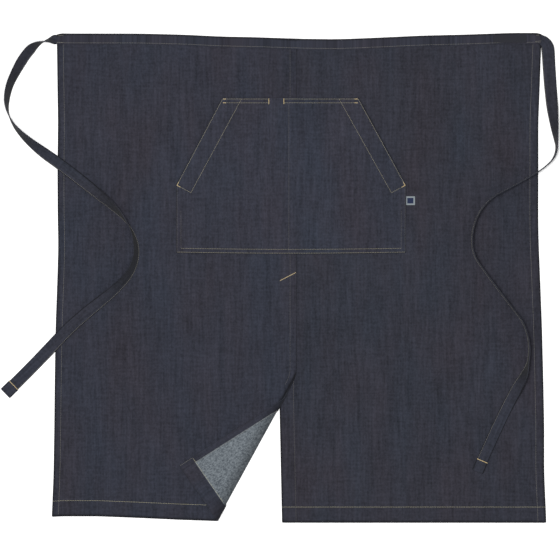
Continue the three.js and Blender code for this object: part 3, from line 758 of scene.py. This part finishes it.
# Casing shape, puckers and settling; foldShade and shadeRun set the painted shade on its top fold
casing = dict(overhang=0.0016, reach=0.0176, pucker=0.00025, puckerLength=0.021, puckerRun=0.012,
              puckerDrift=3, driftRate=37, endDrop=0.0024, endRun=0.013, settle=0.0006,
              foldShade=0.50, shadeRun=0.12, foldSteps=8, columns=320,
              rows=[.0014, .003, .006, .010], nearFold=0.0025)
bandEnd = body["width"] / 2
rootStack = tie["rootInsert"] + tie["rootSlack"]


def frontWallHeight(x):
    # Over the panels' top edges, and over the ties' roots at both ends
    panels = coverTop(x, waistEdge(x) + band["depth"])
    fromEnd = bandEnd - np.abs(x)
    stack = (tie["thickness"] + cloth["gap"]) * (1 - np.clip((fromEnd - rootStack) / band["rise"], 0, 1))
    return panels + cloth["gap"] + stack


def bandSurface(x, place, lift):
    # Profile: down the front wall for place under 0, round the fold from 0 to 1, down the back above 1
    front = frontWallHeight(x) + cloth["ply"] / 2
    radius = (front - cloth["ply"] / 2) / 2
    slope = casing["endDrop"] * np.clip(1 - (bandEnd - np.abs(x)) / casing["endRun"], 0, 1) ** 2
    centre = waistEdge(x) + casing["settle"] + slope + radius + cloth["ply"] / 2
    angle = np.clip(place, 0, 1) * np.pi
    wall = np.maximum(0, -place) + np.maximum(0, place - 1)
    drift = casing["puckerDrift"] * np.sin(x * casing["driftRate"])
    wave = np.sin(2 * np.pi * x / casing["puckerLength"] + drift)
    puckers = casing["pucker"] * np.clip(-place / casing["puckerRun"], 0, 1) * wave
    foot = band["depth"] + casing["overhang"] + waistEdge(x)
    down = centre - (radius + lift) * np.sin(angle) + wall * (foot - centre) / casing["reach"]
    height = radius + cloth["ply"] / 2 + (radius + lift) * np.cos(angle) + puckers
    return np.stack([x, -down, height], -1)


def buildWaistband():
    reach = casing["reach"]
    walls = np.array([reach, *(reach - row for row in casing["rows"]), casing["nearFold"], 0])
    fold = np.linspace(0, 1, casing["foldSteps"] + 1)[1:-1]
    place = np.concatenate([-walls, fold, 1 + walls[::-1]])
    x = np.linspace(-bandEnd + rimRoom / 2, bandEnd - rimRoom / 2, casing["columns"])
    across, along = np.meshgrid(x, place)
    front = bandSurface(across, along, cloth["ply"] / 2)
    back = bandSurface(across, along, -cloth["ply"] / 2)
    # Painted shade: half at the start of the top fold, full over the fold and the back beyond it
    foldPaintedShade = np.clip(casing["foldShade"] + along / casing["shadeRun"], 0, 1) * (along >= 0)
    pattern = np.stack([across, along * reach, foldPaintedShade], -1)
    solid = shell(placed(front)[::-1], placed(back)[::-1], pattern[::-1])
    piece = makeObject("waistbandCasing", *solid, [denimBand, denimWrong])
    return finishPiece(piece, "denim_band", "waistband")


waistbandCasing = buildWaistband()
print("waistband made")

# Lie of each tie: share of its length, heading in degrees from +x, and lean, where 90 stands it on
# its right-hand edge and 180 lays it on its other face
tieLies = {
    "left": dict(
        length=0.963, side=-1, stitchedEdge=-1, tackFace=-1, endSpread=0.0018,
        widthAt=[.012, .025, .70, .80, 1],
        width=[.0175, .0218, .0220, .0242, .0242],
        along=[0, .015, .026, .041, .07, .1, .14, .185, .212, .25, .29, .335, .4, .47, .51, .549, .585,
               .622, .667, .71, .76, .85, 1],
        heading=[181, 186, 190, 199, 226, 239, 245, 266, 287, 311, 321, 325, 322, 321, 315, 301, 282,
                 255, 228, 219, 219, 227, 224],
        lean=[0, 0, 60, 90, 146, 152, 132, 114, 91, 68, 42, 8, 0, 30, 60, 92, 113, 123, 134, 154, 174,
              180, 180],
    ),
    "right": dict(
        length=0.992, side=1, stitchedEdge=-1, tackFace=1, endSpread=0.0010,
        widthAt=[.012, .034, .10, .17, 1],
        width=[.0192, .0256, .0250, .0222, .0220],
        along=[0, .01, .034, .05, .13, .17, .2, .224, .263, .3, .378, .41, .445, .5, .54, .665, .71,
               .765, .8, .835, .95, 1],
        heading=[-6, -16, -82, -86, -86, -84, -83, -84, -136.5, -149, -153, -134, -114, -86, -54, -52,
                 -76, -102, -119, -117, -114, -113],
        lean=[0, 0, 0, 0, 0, 36, 62, 84, 90, 90, 90, 90, 90, 90, 90, 90, 90, 86, 42, 0, 0, 0],
    ),
}


def groundAt(x, down):
    inside = (x > sideEdge(-1, down)) & (x < sideEdge(1, down)) & (down > 0) & (down < body["length"])
    return np.where(inside, coverTop(x, down), 0)


def windowed(values, reach, combine):
    # Each value combined with its neighbours up to reach steps away
    padded = np.pad(values, reach, mode="edge")
    return combine(np.stack([padded[k:k + len(values)] for k in range(2 * reach + 1)]), axis=0)


def walked(start, steps):
    return start + np.concatenate([[0], np.cumsum(steps)])


def tieRoute(lieRows):
    # Walked from the root by heading, then set down on the highest thing under any part of it
    side, length = lieRows["side"], lieRows["length"]
    count = int(np.ceil(length / tie["step"]))
    distance = np.linspace(0, length, count + 1)
    heading = np.radians(np.interp(distance / length, lieRows["along"], lieRows["heading"]))
    lean = np.radians(np.interp(distance / length, lieRows["along"], lieRows["lean"]))
    startX = side * (bandEnd - tie["rootInsert"])
    stride = np.diff(distance)
    middle = (heading[1:] + heading[:-1]) / 2
    x = walked(startX, np.cos(middle) * stride)
    down = walked(tie["rootDrop"] + waistEdge(startX), -np.sin(middle) * stride)
    width = np.interp(distance / length, lieRows["widthAt"], lieRows["width"])
    rests = []
    for edge in (-1, -.5, 0, .5, 1):
        across = edge * width / 2 * np.cos(lean)
        rise = edge * width / 2 * np.sin(lean)
        ground = groundAt(x - across * np.sin(heading), down - across * np.cos(heading))
        rests.append(np.where(ground > 0, ground + cloth["gap"], 0) - rise)
    rest = np.max(rests, axis=0) + np.abs(np.cos(lean)) * tie["thickness"] / 2
    raised = windowed(rest, int(tie["reachBack"] / tie["step"]), np.max)
    level = windowed(raised, int(tie["blur"] / tie["step"]), np.mean)
    rootX = side * (bandEnd - tie["seamRim"])
    rootPanel = coverTop(rootX, waistEdge(side * bandEnd) + band["depth"])
    rootHeight = rootPanel + cloth["gap"] + tie["thickness"] / 2
    settled = ramp(distance, rootStack, rootStack + tie["settleRun"])
    height = rootHeight + (np.maximum(level, rest) - rootHeight) * settled
    return dict(x=x, down=down, heading=heading, lean=lean, width=width, distance=distance,
                height=np.where(settled > 0, np.maximum(height, rest), rootHeight))


def tieSurface(route, at, across, lift):
    # A point at a distance along the tie and a share across it, raised off its middle by lift
    x, down, height, heading, lean = (np.interp(at, route["distance"], route[key])
                                      for key in ("x", "down", "height", "heading", "lean"))
    flat = across * np.cos(lean) - lift * np.sin(lean)
    rise = across * np.sin(lean) + lift * np.cos(lean)
    return np.stack([x - flat * np.sin(heading), -down + flat * np.cos(heading), height + rise], -1)


def buildTie(name, lieRows, node):
    route = tieRoute(lieRows)
    turnAt = lieRows["length"] - tie["endTurn"]
    turned = ramp(route["distance"], turnAt - tie["endRamp"], turnAt)
    thickness = tie["thickness"] + tie["endBulk"] * turned
    half = (route["width"] + lieRows["endSpread"] * turned - thickness) / 2
    shares = np.array([-1, -.9, -.82, -.6, -.3, 0, .3, .6, .82, .9, 1])
    at = np.broadcast_to(route["distance"][:, None], (len(half), len(shares)))
    lean = route["lean"][:, None]
    across = half[:, None] * shares
    inset = tie["stitchInset"] - tie["thickness"] / 2
    seamDip = dip(half[:, None] - np.abs(across) - inset) * (np.sign(across) == lieRows["stitchedEdge"])
    lift = thickness[:, None] / 2 + seamDip
    raised = (thickness[:, None] - tie["thickness"]) / 2 * np.abs(np.cos(lean))
    front = tieSurface(route, at, across, lift)
    back = tieSurface(route, at, across, -lift)
    front[..., 2] += raised
    back[..., 2] += raised
    upright = np.sin(lean) ** 2  # painted shade: a tie on its edge gets it on its faces, a flat one on its edges
    shade = np.where(np.abs(shares) == 1, 1 - upright, upright)
    pattern = np.stack([across, at, shade], -1)
    points, faces, pattern, tags = shell(placed(front), placed(back), pattern, rimSteps=5)
    piece = makeObject(name, points, faces, pattern, np.zeros_like(tags), [denimTie])
    return finishPiece(piece, "denim_tie", node), route


leftTie, leftRoute = buildTie("leftTie", tieLies["left"], "left_tie")
rightTie, rightRoute = buildTie("rightTie", tieLies["right"], "right_tie")
print("ties made")

# Labels: small flat woven patches with turned edges
bandLabel = dict(length=0.0635, depth=0.014, fromEnd=0.029, drop=0.0040, thickness=0.0010, step=0.0012)
sideTag = dict(length=0.0172, width=0.0160, drop=0.0225, thickness=0.0012, step=0.0008, border=0.0020,
               baseIn=0.01)
patchCrown = 0.00012


def buildPatch(name, corners, base, sizes, slot, materials, border=0):
    # A slab with a low crown: one half sine wave across times one along
    left, right, low, high = corners
    x = np.linspace(left, right, max(3, int((right - left) / sizes["step"])))
    up = np.linspace(high, low, max(3, int((high - low) / sizes["step"])))
    across, along = np.meshgrid(x, up)
    crown = np.sin(np.pi * (across - left) / (right - left)) * np.sin(np.pi * (along - low) / (high - low))
    bottom = np.stack([across, along, np.full(across.shape, base)], -1)
    top = np.stack([across, along, base + sizes["thickness"] + patchCrown * crown], -1)
    pattern = np.stack([across - left, along - low], -1)
    points, faces, pattern, tags = shell(placed(top), placed(bottom), pattern,
                                         backTag=np.zeros(across.shape, int))
    if border:
        inside = np.minimum.reduce([across - left, right - across, along - low, high - along]) >= border
        tags[:(len(up) - 1) * (len(x) - 1)] = (inside[:-1, :-1] & inside[1:, 1:]).reshape(-1)
    return finishPiece(makeObject(name, points, faces, pattern, tags, materials), slot, slot)


labelRight = bandEnd - bandLabel["fromEnd"]
labelLeft = labelRight - bandLabel["length"]
labelTop = waistEdge(labelLeft) + bandLabel["drop"]
bandLabelPatch = buildPatch(
    "waistbandLabel", (labelLeft, labelRight, -labelTop - bandLabel["depth"], -labelTop),
    frontWallHeight(labelLeft) + cloth["ply"] + cloth["gap"], bandLabel, "band_label", [labelDark])
tagTop = mouthFoot + sideTag["drop"]
tagLeft = pocketRight + cloth["gap"]
sideTagPatch = buildPatch(
    "sideTag", (tagLeft, tagLeft + sideTag["length"], -tagTop - sideTag["width"], -tagTop),
    underTop(pocketRight + sideTag["baseIn"], tagTop) + cloth["gap"], sideTag, "side_tag",
    [tagPale, tagDark], sideTag["border"])
print("labels made")

# Stitches: one small spindle each, laid from where the needle came up to where it went down
thread = dict(radius=0.00027, pitch=0.0033, cover=0.82, sides=5, tieSink=0.0001)


def spindle():
    # Rings along a stitch: narrow and sunk at both ends, full in the middle
    along = np.array([-.5, -.36, 0, .36, .5])
    size = np.array([.35, .9, 1, .9, .35])
    sink = np.array([-.9, -.1, .25, -.1, -.9])
    turn = 2 * np.pi * np.arange(thread["sides"]) / thread["sides"]
    side = size[:, None] * np.cos(turn)
    rise = size[:, None] * np.sin(turn) + sink[:, None]
    points = np.stack([along[:, None] + 0 * side, side, rise], -1).reshape(-1, 3)
    ring = np.arange(thread["sides"])
    after = np.roll(ring, -1)
    band = np.stack([ring, after, after + thread["sides"], ring + thread["sides"]], -1)
    faces = [band + thread["sides"] * row for row in range(len(along) - 1)]
    return points, np.concatenate(faces)


def layStitches(starts, ends, normals, radius):
    # Each spindle is stretched from start to end, with its own side and normal directions
    shape, faces = spindle()
    run = ends - starts
    length = np.linalg.norm(run, axis=1, keepdims=True)
    side = np.cross(normals, run / length)
    side /= np.linalg.norm(side, axis=1, keepdims=True)
    up = np.cross(run / length, side)
    centre = (starts + ends) / 2
    points = (centre[:, None] + shape[None, :, :1] * run[:, None]
              + radius * (shape[None, :, 1:2] * side[:, None] + shape[None, :, 2:] * up[:, None]))
    offsets = len(shape) * np.arange(len(starts))
    return points.reshape(-1, 3), (faces[None] + offsets[:, None, None]).reshape(-1, 4)


def lineOfStitches(surface, line):
    # A row of stitches along a polyline of flat points, set on a surface function
    line = np.array(line, float)
    lengths = np.concatenate([[0], np.cumsum(np.hypot(*np.diff(line, axis=0).T))])
    count = max(1, int(round(lengths[-1] / thread["pitch"])))
    middle = (np.arange(count) + .5) / count * lengths[-1]
    half = thread["cover"] * lengths[-1] / count / 2

    def at(distance, lift):
        x, down = (np.interp(distance, lengths, column) for column in line.T)
        return surface(x, down, lift)

    starts, ends = at(middle - half, seam["threadLift"]), at(middle + half, seam["threadLift"])
    return layStitches(starts, ends, at(middle, 1e-3) - at(middle, 0), thread["radius"])


tack = dict(pitch=0.00055, radius=0.00027, thin=0.00020, lift=0.0003, slotWidth=0.001428, slotTop=0.0008,
            slotFoot=0.0110, slotRoom=0.001, foot=0.007, footWidth=0.0015, corner=0.0055,
            cornerRoom=0.0006, ventWidth=0.0012, bandWidth=0.0010)


def bars(surface, fromPoint, toPoint, width, radius=tack["radius"]):
    # A bar tack: threads laid side by side across the line from one point to the other
    fromPoint, toPoint = np.array(fromPoint, float), np.array(toPoint, float)
    run = toPoint - fromPoint
    length = np.hypot(*run)
    count = max(2, int(length / tack["pitch"]))
    share = np.linspace(0, 1, count)[:, None]
    across = np.array([-run[1], run[0]]) / length * width / 2
    zigzag = run / length * tack["pitch"] / 2
    first = fromPoint + share * run - across - zigzag
    last = fromPoint + share * run + across + zigzag
    starts, ends = surface(*first.T, tack["lift"]), surface(*last.T, tack["lift"])
    level = np.maximum(starts[:, 2], ends[:, 2])
    starts[:, 2], ends[:, 2] = level, level
    return layStitches(starts, ends, np.tile([0.0, 0.0, 1.0], (count, 1)), radius)


def threadPiece(name, runs, material, slot):
    # All the stitches of one thread as one mesh
    offsets = np.cumsum([0] + [len(run[0]) for run in runs])
    points = np.concatenate([run[0] for run in runs])
    faces = np.concatenate([run[1] + offset for run, offset in zip(runs, offsets)])
    piece = makeObject(name, placed(points), faces, points[:, :2], np.zeros(len(faces), int), [material])
    return finishPiece(piece, slot)


def overFlat(x, down, lift):
    return np.stack([x, -down, overTop(x, down) + overRelief(x, down) + lift], -1)


def overTurned(x, down, lift):
    # The wrong side, which faces up on the turned corner
    return overSurface(x, down, -cloth["ply"] / 2 - overExtra(x, down) - lift)


def underFlat(x, down, lift):
    return np.stack([x, -down, underTop(x, down) + underRelief(x, down) + lift], -1)


def pocketFlat(x, down, lift):
    return np.stack([x, -bowed(x, down), pocketTop(x, down) + lift], -1)


def bandFlat(x, down, lift):
    return np.stack([x, -down, frontWallHeight(x) + cloth["ply"] + lift], -1)


# Where the rows of stitching start and end: places down the apron, and room left before an edge
runs = dict(overSideEnd=0.938, underSideEnd=0.9525, hemDown=0.92, hemFoldX=-0.18, hemFoldRoom=0.0015,
            facingStart=0.655, facingEnd=0.952, slitCornerDown=0.93, turnedFrom=0.014, turnedRoom=0.003,
            edgeRowIn=0.0014, edgeRowRoom=0.002, slitRowIn=0.001, slitRowStart=0.715, lapRoom=0.002,
            lapStart=0.003, lapEnd=0.685, room=0.001)
runShare = np.linspace(0, 1, 60)
bandShare = np.linspace(-bandEnd + runs["room"], bandEnd - runs["room"], 120)
bandFoot = band["depth"] + casing["overhang"] + runs["room"]


def stretch(start, end):
    return start + (end - start) * runShare


def alongSlit(inset, start, end):
    return [(lapEdge(d) - inset, d) for d in stretch(start, end)]


def alongHem(side, start, end):
    return [(x, hemEdge(side, x) - stitch["bottom"]) for x in stretch(start, end)]


overSide = [(sideEdge(-1, d) + stitch["sideLeft"], d) for d in stretch(bandFoot, runs["overSideEnd"])]
underSide = [(sideEdge(1, d) - stitch["sideRight"], d) for d in stretch(bandFoot, runs["underSideEnd"])]
hemEnd = foldX(hemEdge(-1, runs["hemFoldX"]) - stitch["bottom"]) - runs["hemFoldRoom"]
overHem = alongHem(-1, sideEdge(-1, runs["hemDown"]) + runs["room"], hemEnd)
underHemStart, underHemEnd = ventEdge(runs["hemDown"]), sideEdge(1, runs["hemDown"])
underHem = alongHem(1, underHemStart + runs["room"], underHemEnd - runs["room"])
facingLine = [(ventEdge(d) + stitch["facing"], d) for d in stretch(runs["facingStart"], runs["facingEnd"])]

# The turned corner shows its hem stitching from behind, from the fold to the slit's corner
slitCornerX = lapEdge(runs["slitCornerDown"])
cornerLow = hemEdge(-1, slitCornerX)
cornerStitch = cornerLow - stitch["bottom"]
turnedHem = alongHem(-1, hemEnd + runs["turnedFrom"], slitCornerX - runs["turnedRoom"])
turnedEdgeRow = alongSlit(runs["edgeRowIn"], cornerStitch, cornerLow - runs["edgeRowRoom"])
turnedLapRow = alongSlit(stitch["lap"] + runs["slitRowIn"], runs["slitRowStart"], cornerStitch)

hemStitches = threadPiece("hemTopstitch", [
    lineOfStitches(overFlat, overHem), lineOfStitches(underFlat, underHem),
    lineOfStitches(overTurned, turnedHem),
], brightPaintedThread, "denim_left")
sideStitches = threadPiece("sideTopstitch", [
    lineOfStitches(overFlat, overSide), lineOfStitches(underFlat, underSide),
    lineOfStitches(overTurned, turnedEdgeRow), lineOfStitches(overTurned, turnedLapRow),
], dimPaintedThread, "denim_left")
lapStitches = threadPiece("lapTopstitch", [
    lineOfStitches(overFlat, alongSlit(stitch["lap"], bandFoot, pocket["drop"] - runs["lapRoom"])),
    lineOfStitches(overFlat, alongSlit(stitch["lap"], pocketBottom + runs["lapStart"], runs["lapEnd"])),
    lineOfStitches(underFlat, facingLine),
], darkPaintedThread, "denim_left")
waistStitches = threadPiece("waistTopstitch", [
    lineOfStitches(bandFlat, [(x, waistEdge(x) + stitch["waist"]) for x in bandShare]),
], dimPaintedThread, "denim_band")

pocketRows = (pocket["edgeStitch"], pocket["innerStitch"])
outerRow, innerRow = pocketRows


def mouthPoints(side):
    # Foot and top of a mouth, with the directions up along it and inwards from it
    foot = np.array([pocketLeft if side < 0 else pocketRight, mouthFoot])
    slant = np.array([-side * mouthAcross[side], -pocket["mouthDown"]]) / mouthSlant[side]
    inward = np.array([-side * pocket["mouthDown"], mouthAcross[side]]) / mouthSlant[side]
    return foot, foot + slant * mouthSlant[side], slant, inward


def pocketRow(startX, startDown, endX, endDown):
    return lineOfStitches(pocketFlat, [(startX, startDown), (endX, endDown)])


mouthRuns, sideRuns = [], []
for side, slotX in ((-1, slotLeft), (1, slotRight)):
    foot, top, slant, inward = mouthPoints(side)
    outerFoot = foot + inward * outerRow
    innerFoot = foot + inward * pocket["facing"]
    innerTop = innerFoot + slant * (innerFoot[1] - pocket["drop"] - outerRow) / -slant[1]
    innerTop = innerTop - (side * pocket["innerLean"], 0)
    mouthRuns += [
        pocketRow(*(top + inward * outerRow - slant * runs["room"]), *outerFoot),
        pocketRow(*innerTop, *innerFoot),
        pocketRow(*outerFoot, *innerFoot),
    ]
    for row in pocketRows:
        level = pocket["drop"] + row
        mouthRuns.append(pocketRow(top[0] - side * (outerRow + runs["room"]), level, slotX, level))
    for row, start in zip(pocketRows, pocket["sideRowStarts"]):
        sideX = foot[0] - side * row
        sideRuns.append(pocketRow(sideX, mouthFoot + start, sideX, pocketBottom - row))
for row in pocketRows:
    level = pocketBottom - row
    mouthRuns.append(pocketRow(pocketLeft + row, level, pocketRight - row, level))
sideRuns.append(pocketRow(dividerX, pocket["drop"] + innerRow, dividerX, pocketBottom - outerRow))
pocketStitches = threadPiece("pocketTopstitch", mouthRuns, midPaintedThread, "denim_pocket")
pocketSideStitches = threadPiece("pocketSideStitch", sideRuns, darkPaintedThread, "denim_pocket")
print("topstitching laid")

tacks = []
for x in (slotLeft - tack["slotRoom"], slotRight + tack["slotRoom"]):
    slotTop, slotFoot = pocket["drop"] + tack["slotTop"], pocket["drop"] + tack["slotFoot"]
    tacks.append(bars(pocketFlat, (x, slotTop), (x, slotFoot), tack["slotWidth"]))
for side in (-1, 1):
    foot, top, slant, inward = mouthPoints(side)
    start = foot + inward * outerRow
    for direction in (slant, inward):
        tacks.append(bars(pocketFlat, start, start + direction * tack["foot"], tack["footWidth"]))
    startX = top[0] - side * (outerRow + tack["cornerRoom"])
    for row in pocketRows:
        level = pocket["drop"] + row
        tacks.append(bars(pocketFlat, (startX, level), (startX - side * tack["corner"], level),
                          tack["footWidth"]))
# Ends of the other tacks, as x and down on the apron
ventTackEnds = ((-.0369, .4824), (-.0062, .4666))
bandTackEnds = [((-.4715, .0186), (-.4590, .0186)), ((-.4690, .0052), (-.4590, .0046)),
                ((.4604, .0165), (.4712, .0155)), ((.4624, .0045), (.4682, .0040))]
ventTack = [bars(overFlat, *ventTackEnds, tack["ventWidth"])]
pocketTacks = threadPiece("pocketBarTacks", tacks, goldThread, "denim_pocket")
ventTackPiece = threadPiece("ventBarTack", ventTack, goldThread, "denim_left")
bandTacks = threadPiece("waistbandBarTacks", [
    bars(bandFlat, start, end, tack["bandWidth"], tack["thin"]) for start, end in bandTackEnds
], dimPaintedThread, "denim_band")


def tieRow(route, lieRows, face):
    # Stitches near one long edge of a tie, on one of its faces
    first, last = rootStack + tie["stitchStart"], lieRows["length"] - tie["seamRim"]
    count = int((last - first) / thread["pitch"])
    middle = first + (np.arange(count) + .5) * thread["pitch"]
    width = np.interp(middle, route["distance"], route["width"])
    edgeAcross = lieRows["stitchedEdge"] * (width / 2 - tie["stitchInset"])
    half = thread["cover"] * thread["pitch"] / 2
    lift = face * (tie["thickness"] / 2 - thread["tieSink"])
    starts = tieSurface(route, middle - half, edgeAcross, lift)
    ends = tieSurface(route, middle + half, edgeAcross, lift)
    outward = tieSurface(route, middle, edgeAcross, 2 * lift) - tieSurface(route, middle, edgeAcross, lift)
    return layStitches(starts, ends, outward, thread["radius"])


def tieTack(route, lieRows):
    # A bar tack across the tie where its end was turned under, on the face that lies up
    at = lieRows["length"] - tie["endTurn"]
    reach = (route["width"][-1] + lieRows["endSpread"]) / 2 - tie["tackEdge"]
    shares = np.linspace(-1, 1, tie["tackThreads"]) * reach
    lift = lieRows["tackFace"] * (tie["thickness"] / 2 + tie["endBulk"] / 2)
    starts = tieSurface(route, at - tie["tackReach"], shares, lift)
    ends = tieSurface(route, at + tie["tackReach"], shares + tie["tackSlant"], lift)
    starts[:, 2] += tie["endBulk"] / 2
    ends[:, 2] += tie["endBulk"] / 2
    outward = tieSurface(route, at, shares, 2 * lift) - tieSurface(route, at, shares, lift)
    return layStitches(starts, ends, outward, thread["radius"])


tieLaid = ((leftRoute, tieLies["left"]), (rightRoute, tieLies["right"]))
threadPiece("tieTopstitch", [
    tieRow(route, lieRows, face) for route, lieRows in tieLaid for face in (1, -1)
], dimPaintedThread, "denim_tie")
threadPiece("tieBarTacks", [
    tieTack(route, lieRows) for route, lieRows in tieLaid
], goldThread, "denim_tie")
print("bar tacks laid")

# Floor, light and camera
studio = dict(floor=4.0, floorTone=0.95, keySize=1.3, keyShift=-0.35, keyTilt=-0.08, keyHeight=3.8,
              keyPower=165.0, fill=0.42, height=6.0, viewWidth=1.092, viewX=-0.0369,
              viewDown=0.4811, sensor=36, farClip=20)


def buildStudio():
    corners = np.array([[-1, -1, 0], [1, -1, 0], [1, 1, 0], [-1, 1, 0]]) * studio["floor"]
    mesh = bpy.data.meshes.new("floor")
    mesh.from_pydata(corners.tolist(), [], [(0, 1, 2, 3)])
    floor = bpy.data.objects.new("floor", mesh)
    bpy.context.scene.collection.objects.link(floor)
    material, _, shader = newMaterial("plain pale floor", roughness=0.9, sheen=0.0, specular=0.1)
    shader.inputs["Base Color"].default_value = (*[studio["floorTone"]] * 3, 1)
    mesh.materials.append(material)
    light = bpy.data.lights.new("soft key", "AREA")
    light.energy, light.size = studio["keyPower"], studio["keySize"]
    lamp = bpy.data.objects.new("soft key", light)
    lamp.location = (middleX + studio["keyShift"], waistY + studio["keyShift"], studio["keyHeight"])
    lamp.rotation_euler = (0, studio["keyTilt"], 0)
    bpy.context.scene.collection.objects.link(lamp)
    world = bpy.data.worlds.new("soft studio")
    world.use_nodes = True
    background = world.node_tree.nodes["Background"]
    background.inputs["Color"].default_value = (1, 1, 1, 1)
    background.inputs["Strength"].default_value = studio["fill"]
    bpy.context.scene.world = world
    view = bpy.data.cameras.new("camera")
    view.lens = studio["sensor"] * studio["height"] / studio["viewWidth"]
    view.clip_end = studio["farClip"]
    camera = bpy.data.objects.new("camera", view)
    camera.location = (middleX + studio["viewX"], waistY - studio["viewDown"], studio["height"])
    bpy.context.scene.collection.objects.link(camera)
    bpy.context.scene.camera = camera
    bpy.context.scene.view_settings.view_transform = "Standard"


buildStudio()
print("studio built")
